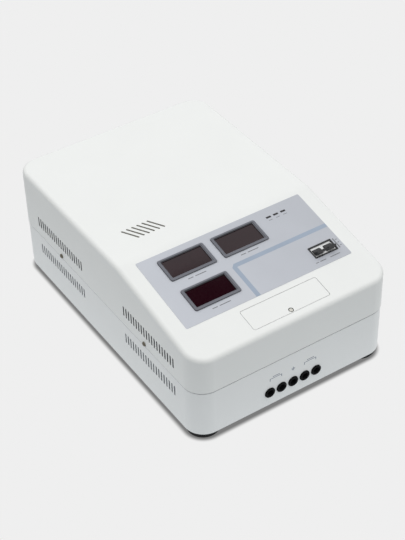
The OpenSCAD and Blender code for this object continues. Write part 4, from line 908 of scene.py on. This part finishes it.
class REGULATOR_OT_lower_case(bpy.types.Operator):
    """Builds the lower moulding with its vents, cable holes and fan grille"""
    bl_idname = "regulator.lower_case"
    bl_label = "Lower Case"

    def execute(self, context):
        c = sizes()
        w, l, r = c.width - 2 * c.step, c.length - 2 * c.step, c.corner - c.step
        edge, lip = 0.9 * MM, c.wall + 0.3 * MM - c.step
        # inset from the skin, and height: the lower edge, the groove and lip at the seam, inside
        profile = [(edge * (1 - math.sin(a)), c.foot + edge * (1 - math.cos(a)))
                   for a in (QUARTER * k / 4 for k in range(5))]
        profile += [(inset, c.seam + z * MM) for inset, z in (
            (0, -1.5), (0.15 * MM, -1.35), (MM, -1.3), (MM, 0), (lip, 0), (lip, 3.6),
            (lip + 0.4 * MM, 4), (lip + 2 * MM, 4), (lip + 2 * MM, -5), (c.wall, -5))]
        profile.append((c.wall, c.foot + 3 * MM))
        rings = [rounded(w - 2 * inset, l - 2 * inset, r - inset, z, 14) for inset, z in profile]
        shell = Form().loft(rings).piece("lower_moulding")

        tools = side_vents(c.seam - c.vent_rise, w / 2)
        tools.append(row("cable_holes", boss(ENTRY_HOLE, -4, 1, upright(0, 0, 0), 48),
                         ENTRY_COUNT, (ENTRY_X, -l / 2, ENTRY_Z), (ENTRY_PITCH, 0, 0)))
        shell = combine(shell, merged("lower_tools", tools))

        # the grille, its screw holes and the room for the fan's frame behind it
        pitch, inner = GRILLE / GRILLE_SLOTS, l / 2 - c.wall
        slat = block(GRILLE, pitch - GRILLE_BAR, 0.5, -1, 4, Matrix.Rotation(-QUARTER, 4, "X"), 2)
        grid = row("grille", slat, GRILLE_SLOTS, (0, inner, (FAN_Z - (GRILLE - pitch) / 2) * MM),
                   (0, 0, pitch * MM))
        round_tool = boss(GRILLE_D, -5, 5, upright(0, inner, FAN_Z * MM), 64)
        shell = combine(shell, combine(grid, round_tool, "INTERSECT"))
        holes = [boss(SCREW_HOLE, -1, 5, upright(x * MM, l / 2, (FAN_Z + z) * MM))
                 for x, z in four(FAN_SCREW, FAN_SCREW)]
        holes += [boss(FOOT_HOLE, -1, 5, Matrix.Translation((x, y, c.foot)))
                  for x, y in four(FOOT_X, FOOT_Y)]
        shell = combine(shell, merged("holes", holes))
        middle = inner - FAN_ROOM[1] / 2 * MM
        fan_room = block(*FAN_ROOM, Matrix.Translation((0, middle, 0)), 1)
        shell = weigh(combine(shell, fan_room))
        # the walls of the vents and the seam's groove get painted shade
        set_material(shell, "moulded white lower", "lower slot shade", "seam shade",
                     chosen=lower_walls(w / 2))
        dress(shell, "case", "case_white_lower", "lower_case")
        return {"FINISHED"}


# Panel

class REGULATOR_OT_panel(bpy.types.Operator):
    """Finishes the printed panel and lays its band and rules"""
    bl_idname = "regulator.panel"
    bl_label = "Panel"

    def execute(self, context):
        p = panel_sizes()
        soften_group("panel")
        low, high = p.proud / MM - 0.04, (p.proud + p.ink) / MM
        # the band, in mm: from the right-hand edge, round a cut corner, to the front edge
        x, y = BAND_CORNER
        half, cut, margin = p.band / MM / 2, 5, 0.2
        right, front = p.width / MM / 2 - margin, margin - (p.back + p.length) / MM
        outline = [(right, y + half), (x - half + cut, y + half), (x - half, y + half - cut),
                   (x - half, front), (x + half, front), (x + half, y - half), (right, y - half)]
        rings = [[(a * MM, b * MM, z * MM) for a, b in outline] for z in (low, high)]
        band = Form().loft(rings, on_slope()).piece("panel_band", finish("printed blue"),
                                                    smooth=False)
        dress(band, "case", "panel_grey")

        # plain bars in place of captions, in mm: place, width and length
        marks = [bar for x, s in ((-69.5, 62.9), (13.2, 62.4), (-69.5, 119.6))
                 for bar in ((x - 10.5, s, 8, 1.2), (x + 5, s, 17, 1.2))]
        marks += [(x, 29.6, 6.0, 0.8) for x in lamp_columns()]
        marks += [(79.6, 122.8, 4.5, 1.2), (89.0, 122.8, 9.5, 1.2), (108.5, 122.8, 16, 1.2),
                  (122.4, 106.5, 1.7, 18)]
        marks += [(126.0, 101 + 5.5 * k, 2.8, 1.1) for k in range(3)]
        rules = Form()
        for x, s, w, l in marks:
            rules.loft(slabs([(w, l, 0.3, low), (w, l, 0.3, high)], 2), on_slope(x, s))
        dress(rules.piece("panel_rules", finish("printed ink"), smooth=False), "case",
              "panel_grey")
        return {"FINISHED"}


class REGULATOR_OT_front_marks(bpy.types.Operator):
    """Prints the plain brackets and the earth sign over the cable entries"""
    bl_idname = "regulator.front_marks"
    bl_label = "Front Marks"

    def execute(self, context):
        c = sizes()
        # bars in mm: place across, place above the brackets' level, width and height
        bars = [(-3.5, 1.3, 0.9, 2.6), (-3.5, -0.4, 6.2, 0.9), (-3.5, -1.9, 4.2, 0.9),
                (-3.5, -3.4, 2.2, 0.9)]
        for left, right in ((-41.0, -21.6), (14.3, 33.6)):
            middle = (left + right) / 2
            bars += [(middle, 0, right - left, 0.95), (middle + 0.5, 2.7, 11, 1.1),
                     (left + 0.5, -2.2, 0.95, 3.6), (right - 0.5, -2.2, 0.95, 3.6)]
        form = Form()
        for x, z, w, h in bars:
            form.loft(slabs([(w, h, 0.1, -0.04), (w, h, 0.1, c.ink / MM)], 1),
                      upright(x * MM, c.step - c.length / 2, (MARK_LEVEL + z) * MM))
        dress(form.piece("front_marks", finish("front ink"), smooth=False), "case",
              "case_white_lower")
        return {"FINISHED"}


class REGULATOR_OT_displays(bpy.types.Operator):
    """Builds the display frames and finishes their windows and digit modules"""
    bl_idname = "regulator.displays"
    bl_label = "Displays"

    def execute(self, context):
        p = panel_sizes()
        # inset from the outer edge in mm, height in mm
        profile = [(4.15, -4.6), (4.15, 0.3), (0, 0.3), (0, 1.35), (0.25, 1.8), (0.8, 2.0),
                   (1.3, 2.05), (3.3, 2.05), (3.7, 1.9), (4.0, 1.5), (FRAME_EDGE, 0.7),
                   (FRAME_EDGE, -0.35), (4.55, -0.35), (4.55, -4.6)]
        form = Form()
        for place in DISPLAYS:
            rings = []
            for inset, z in profile:
                shift = p.display_shift * (1 - inset / FRAME_EDGE)
                ring = rounded(p.display_w - 2 * inset * MM,
                               p.display_h - FRAME_BORDERS * inset * MM,
                               max(3 - inset, 0.6) * MM, z * MM)
                rings.append([(x, y - shift, z) for x, y, z in ring])
            form.loft(rings, on_slope(*place), closed=True)
        frames = weigh(form.piece("display_frames"))
        # faces turned away from the top get painted shade
        up = on_slope().to_3x3() @ Vector((0, 0, 1))
        set_material(frames, "display frame grey", "display frame side",
                     chosen=lambda middle, facing: facing.dot(up) < 0.72)
        dress(frames, "case", "bezel_grey", "display_bezels")
        soften_group("displays")
        return {"FINISHED"}


class REGULATOR_OT_lamps(bpy.types.Operator):
    """Builds the three indicator lamps"""
    bl_idname = "regulator.lamps"
    bl_label = "Lamps"

    def execute(self, context):
        p = panel_sizes()
        rings = [rounded(p.lamp_w - inset * MM, p.lamp_h - inset * MM, 0.3 * MM, z * MM, 3)
                 for inset, z in ((0, -11.6), (0, 0.25), (0.2, 0.42), (0.8, 0.5))]
        lamps = row("lamps", Form().loft(rings).piece("lamp"), 3, (-p.lamp_pitch, 0, 0),
                    (p.lamp_pitch, 0, 0), finish("smoked lamp"))
        lamps.data.transform(on_slope(*LAMPS))
        dress(weigh(lamps), "case", "lamp_smoke", "indicator_lamps")
        return {"FINISHED"}


class REGULATOR_OT_breakers(bpy.types.Operator):
    """Finishes the breakers and their toggles, and builds their window's frame"""
    bl_idname = "regulator.breakers"
    bl_label = "Breakers"

    def execute(self, context):
        soften_group("breakers")
        p = panel_sizes()
        w, h = p.window_w / MM, p.window_h / MM
        # inset from the outer edge in mm, height in mm
        profile = [(1.0, -0.7), (1.0, 0.3), (0, 0.3), (0, 0.9), (0.3, 1.25), (0.8, 1.3),
                   (1.5, 1.3), (2.0, 0.9), (2.0, -0.7)]
        rings = slabs([(w - 2 * i, h - 2 * i, max(1.2 - i / 2, 0.5), z) for i, z in profile])
        form = Form().loft(rings, on_slope(*WINDOW), closed=True)
        dress(weigh(form.piece("breaker_frame", finish("black moulding"))), "case", "black_trim",
              "breaker_bezel")
        return {"FINISHED"}


# Terminals, grommets, feet, screws

class REGULATOR_OT_terminals(bpy.types.Operator):
    """Builds the terminal cover, and finishes the terminal block and the screws"""
    bl_idname = "regulator.terminals"
    bl_label = "Terminals"

    def execute(self, context):
        place, screw = on_slope(*COVER), on_slope(*COVER_SCREW)
        # inset of width and length, corner radius and height, in mm
        profile = [(11, 1.3, -2), (11, 1.3, -4.5), (8.6, 2.5, -4.5), (8.6, 2.5, -2),
                   (0.2, 2.5, -2), (0, 2.5, -1.9), (0, 2.5, -0.3), (0.18, 2.4, -0.09),
                   (0.6, 2.2, 0)]
        rings = slabs([(COVER_W - i, COVER_L - i, r, z) for i, r, z in profile])
        plate = combine(Form().loft(rings, place).piece("cover_plate"), boss(9.6, -6, -2, screw))
        hole = combine(boss(COVER_HOLE, -6, 1, screw), boss(SEAT_D, -1.7, 1, screw), "UNION")
        plate = weigh(combine(plate, hole))
        local = screw.inverted()

        # painted shade on the seat's walls round the screw head
        def painted_seat_shade(middle, facing):
            at = local @ middle / MM
            return math.hypot(at.x, at.y) < SEAT_D / 2 + 0.1 and at.z < -0.05
        set_material(plate, "cover white", "screw seat", chosen=painted_seat_shade)
        dress(plate, "terminal_cover", "case_white", "terminal_cover")
        soften_group("terminals")
        return {"FINISHED"}


class REGULATOR_OT_grommets(bpy.types.Operator):
    """Builds the five cable grommets in the front wall"""
    bl_idname = "regulator.grommets"
    bl_label = "Cable Grommets"

    def execute(self, context):
        c = sizes()
        # radius and distance out from the wall, in mm
        profile = [(4.5, -5.2), (7.3, -5.2), (7.3, -3.0), (6.0, -3.0), (6.0, 0.0), (7.8, 0.0),
                   (7.8, 0.9), (7.55, 1.6), (7.0, 2.05), (6.4, 2.2), (5.6, 2.2), (5.0, 1.95),
                   (4.6, 1.4), (4.5, 0.8)]
        shape = Form().loft(circles(profile), upright(0, 0, 0), closed=True).piece("grommet")
        grommets = row("grommets", shape, ENTRY_COUNT, (ENTRY_X, c.step - c.length / 2, ENTRY_Z),
                       (ENTRY_PITCH, 0, 0), finish("grommet rubber"))
        dress(weigh(grommets, 50), "case", "grommet_rubber", "cable_grommets")
        return {"FINISHED"}


class REGULATOR_OT_feet(bpy.types.Operator):
    """Builds the four rubber feet"""
    bl_idname = "regulator.feet"
    bl_label = "Feet"

    def execute(self, context):
        # radius and height, in mm
        profile = [(2.6, 4.0), (5.75, 4.0), (5.75, 0.0), (21.3, 0.0), (22.1, 0.25), (22.5, 1.0),
                   (23.1, 5.2), (22.9, 5.7), (23.2, 6.2), (23.6, 8.4), (23.3, 9.0), (2.6, 9.0)]
        shape = Form().loft(circles(profile, 64), closed=True).piece("foot")
        places = [((x, y, 0), (0, 0, 1)) for x, y in four(FOOT_X, FOOT_Y)]
        feet = seats("feet", shape, places, finish("black rubber"))
        dress(weigh(feet, 50), "case", "foot_rubber", "rubber_feet")
        return {"FINISHED"}


def screw_shape(d, long):
    """Pan-head screw along Z, sizes in mm, its head above the origin, with a cross recess"""
    r, high = d * 1.9 / 2, d * 0.6
    head = [(1, 0), (1, 0.35), (0.93, 0.72), (0.74, 0.93), (0.4, 1)]
    rings = circles([(d / 2, -long), (d / 2, 0)] + [(r * a, high * b) for a, b in head], 24)
    arms = [Form().loft(slabs([(r * 0.9, r * 0.24, 0.05, high * 0.35),
                               (r * 1.15, r * 0.3, 0.05, high * 1.2)], 1),
                        Matrix.Rotation(turn, 4, "Z")).piece("arm") for turn in (0, QUARTER)]
    return combine(Form().loft(rings).piece("screw"), combine(*arms, "UNION"))


class REGULATOR_OT_screws(bpy.types.Operator):
    """Builds the case screws and finishes the other screws and plates"""
    bl_idname = "regulator.screws"
    bl_label = "Screws and Plates"

    def execute(self, context):
        places = [((x, y, CASE_SCREW_Z), (math.copysign(1, x), 0, 0))
                  for x, y in four(sizes().width / 2, CASE_SCREW_Y)]
        shape = screw_shape(CASE_SCREW_D, CASE_SCREW_L)
        screws = weigh(seats("case_fixings", shape, places))
        set_material(screws, "plated screw")
        dress(screws, "case", "plated_screw", "case_screws")
        soften_group("screws")
        return {"FINISHED"}


class REGULATOR_OT_inner_parts(bpy.types.Operator):
    """Finishes the transformers, the brush drive, the board, the contactor and the fan"""
    bl_idname = "regulator.inner_parts"
    bl_label = "Inner Parts"

    def execute(self, context):
        soften_group("inner parts")
        return {"FINISHED"}


# Stage

def floor_finish(st):
    """The floor: as bright as the backdrop to the camera, with a painted shadow under the case; a
    pale sheet to the object
    """
    pale = bpy.data.materials.new("pale floor")
    pale.use_nodes = True
    n = Nodes(pale.node_tree, clear=True)
    c = sizes()
    where = n.out("ShaderNodeTexCoord", output="Object")
    # painted shadow: darker under the case, following its outline
    core = (c.width / 2 - c.corner, c.length / 2 - c.corner, 0)
    beyond = n.vector("MAXIMUM", n.vector("SUBTRACT", n.vector("ABSOLUTE", where), core),
                      (0, 0, 0))
    edge = c.corner - c.step
    painted_shadow = n.remap(n.vector("LENGTH", beyond, output="Value"), edge - st.shade_in,
                   edge + st.shade_out, st.least, 1.0, "SMOOTHSTEP")
    shown = n.out("ShaderNodeEmission", {"Color": n.scaled(tuple(st.floor), painted_shadow)})
    away = n.vector("DISTANCE", where, (*st.sheet_middle, 0), output="Value")
    within = n.remap(away, st.sheet_reach * st.sheet_even, st.sheet_reach, 1.0, st.room,
                     "SMOOTHSTEP")
    throws = n.out("ShaderNodeEmission", {"Color": (*st.sheet, 1), "Strength": within})
    path = n.add("ShaderNodeLightPath").outputs
    seen = n.math("ADD", n.math("ADD", path["Is Camera Ray"], path["Is Glossy Ray"]),
                  path["Is Transmission Ray"], use_clamp=True)
    both = n.out("ShaderNodeMixShader", {0: seen, 1: throws, 2: shown})
    # from below, the floor is clear
    below = n.out("ShaderNodeNewGeometry", output="Backfacing")
    both = n.out("ShaderNodeMixShader", {0: below, 1: both,
                                         2: n.out("ShaderNodeBsdfTransparent")})
    n.add("ShaderNodeOutputMaterial", {0: both})
    return pale


def soft_tent(st):
    """The world: soft light from above, with less of it from the camera's side"""
    world = bpy.data.worlds.new("soft tent")
    world.use_nodes = True
    n = Nodes(world.node_tree, clear=True)
    where = n.out("ShaderNodeTexCoord", output="Generated")
    height = n.out("ShaderNodeSeparateXYZ", {0: where}, "Z")
    sky = n.remap(height, 0.0, st.sky_height, st.horizon, st.sky, "SMOOTHSTEP")
    ahead = n.vector("DOT_PRODUCT", where, CAMERA_SIDE, output="Value")
    sky = n.math("MULTIPLY", sky, n.remap(ahead, *SHADE_RANGE, 1.0, 1 - st.shade, "SMOOTHSTEP"))
    # a dark screen overhead that only the gloss shows
    facing = n.vector("DOT_PRODUCT", where, SCREEN_SIDE, output="Value")
    screened = n.math("MULTIPLY", sky, n.remap(facing, *SCREEN_RANGE, 1.0, 0.0))
    path = n.add("ShaderNodeLightPath").outputs
    sky = n.out("ShaderNodeMix", {0: path["Is Glossy Ray"], 2: sky, 3: screened})
    light = n.out("ShaderNodeBackground", {"Color": (1, 1, 1, 1), "Strength": sky})
    back = n.out("ShaderNodeBackground", {"Color": (*st.floor, 1)})
    both = n.out("ShaderNodeMixShader", {0: path["Is Camera Ray"], 1: light, 2: back})
    n.add("ShaderNodeOutputWorld", {0: both})
    return world


class REGULATOR_OT_stage(bpy.types.Operator):
    """Sets the floor, the soft light and the camera"""
    bl_idname = "regulator.stage"
    bl_label = "Stage"

    def execute(self, context):
        scene = context.scene
        st = scene.regulator_stage
        scene.view_settings.view_transform = "Standard"
        reach = st.floor_reach
        form = Form()
        form.points = [(-reach, -reach, 0), (reach, -reach, 0), (reach, reach, 0),
                       (-reach, reach, 0)]
        form.faces = [(0, 1, 2, 3)]
        floor = form.piece("floor", floor_finish(st), smooth=False)
        scene.world = soft_tent(st)

        camera = bpy.data.cameras.new("camera")
        camera.lens = st.focal
        camera.sensor_width = 36
        camera.clip_end = 50
        scene.camera = put("camera", camera)
        scene.camera.location = st.view_place
        scene.camera.rotation_euler = st.view_turn
        return {"FINISHED"}


OPERATORS = (REGULATOR_OT_stage, REGULATOR_OT_upper_case, REGULATOR_OT_lower_case,
             REGULATOR_OT_panel, REGULATOR_OT_front_marks, REGULATOR_OT_displays,
             REGULATOR_OT_lamps, REGULATOR_OT_breakers, REGULATOR_OT_terminals,
             REGULATOR_OT_grommets, REGULATOR_OT_feet, REGULATOR_OT_screws,
             REGULATOR_OT_inner_parts)
GROUPS = {"regulator_case": CaseSizes, "regulator_panel": PanelSizes,
          "regulator_finish": Finishes, "regulator_stage": StageSettings}


class REGULATOR_PT_dressing(bpy.types.Panel):
    """Lists the pieces of the regulator and their settings"""
    bl_idname = "REGULATOR_PT_dressing"
    bl_label = "Regulator"
    bl_space_type = "VIEW_3D"
    bl_region_type = "UI"
    bl_category = "Regulator"

    def draw(self, context):
        for operator in OPERATORS:
            self.layout.operator(operator.bl_idname)
        for name, group in GROUPS.items():
            box = self.layout.box()
            for item in group.__annotations__:
                box.prop(getattr(context.scene, name), item)


CLASSES = (*GROUPS.values(), *OPERATORS, REGULATOR_PT_dressing)


def register():
    for kind in CLASSES:
        bpy.utils.register_class(kind)
    for name, group in GROUPS.items():
        setattr(bpy.types.Scene, name, PointerProperty(type=group))


def unregister():
    for name in GROUPS:
        delattr(bpy.types.Scene, name)
    for kind in reversed(CLASSES):
        bpy.utils.unregister_class(kind)


def main():
    register()
    for operator in OPERATORS:
        getattr(bpy.ops.regulator, operator.bl_idname.split(".")[1])()


if __name__ == "__main__":
    main()
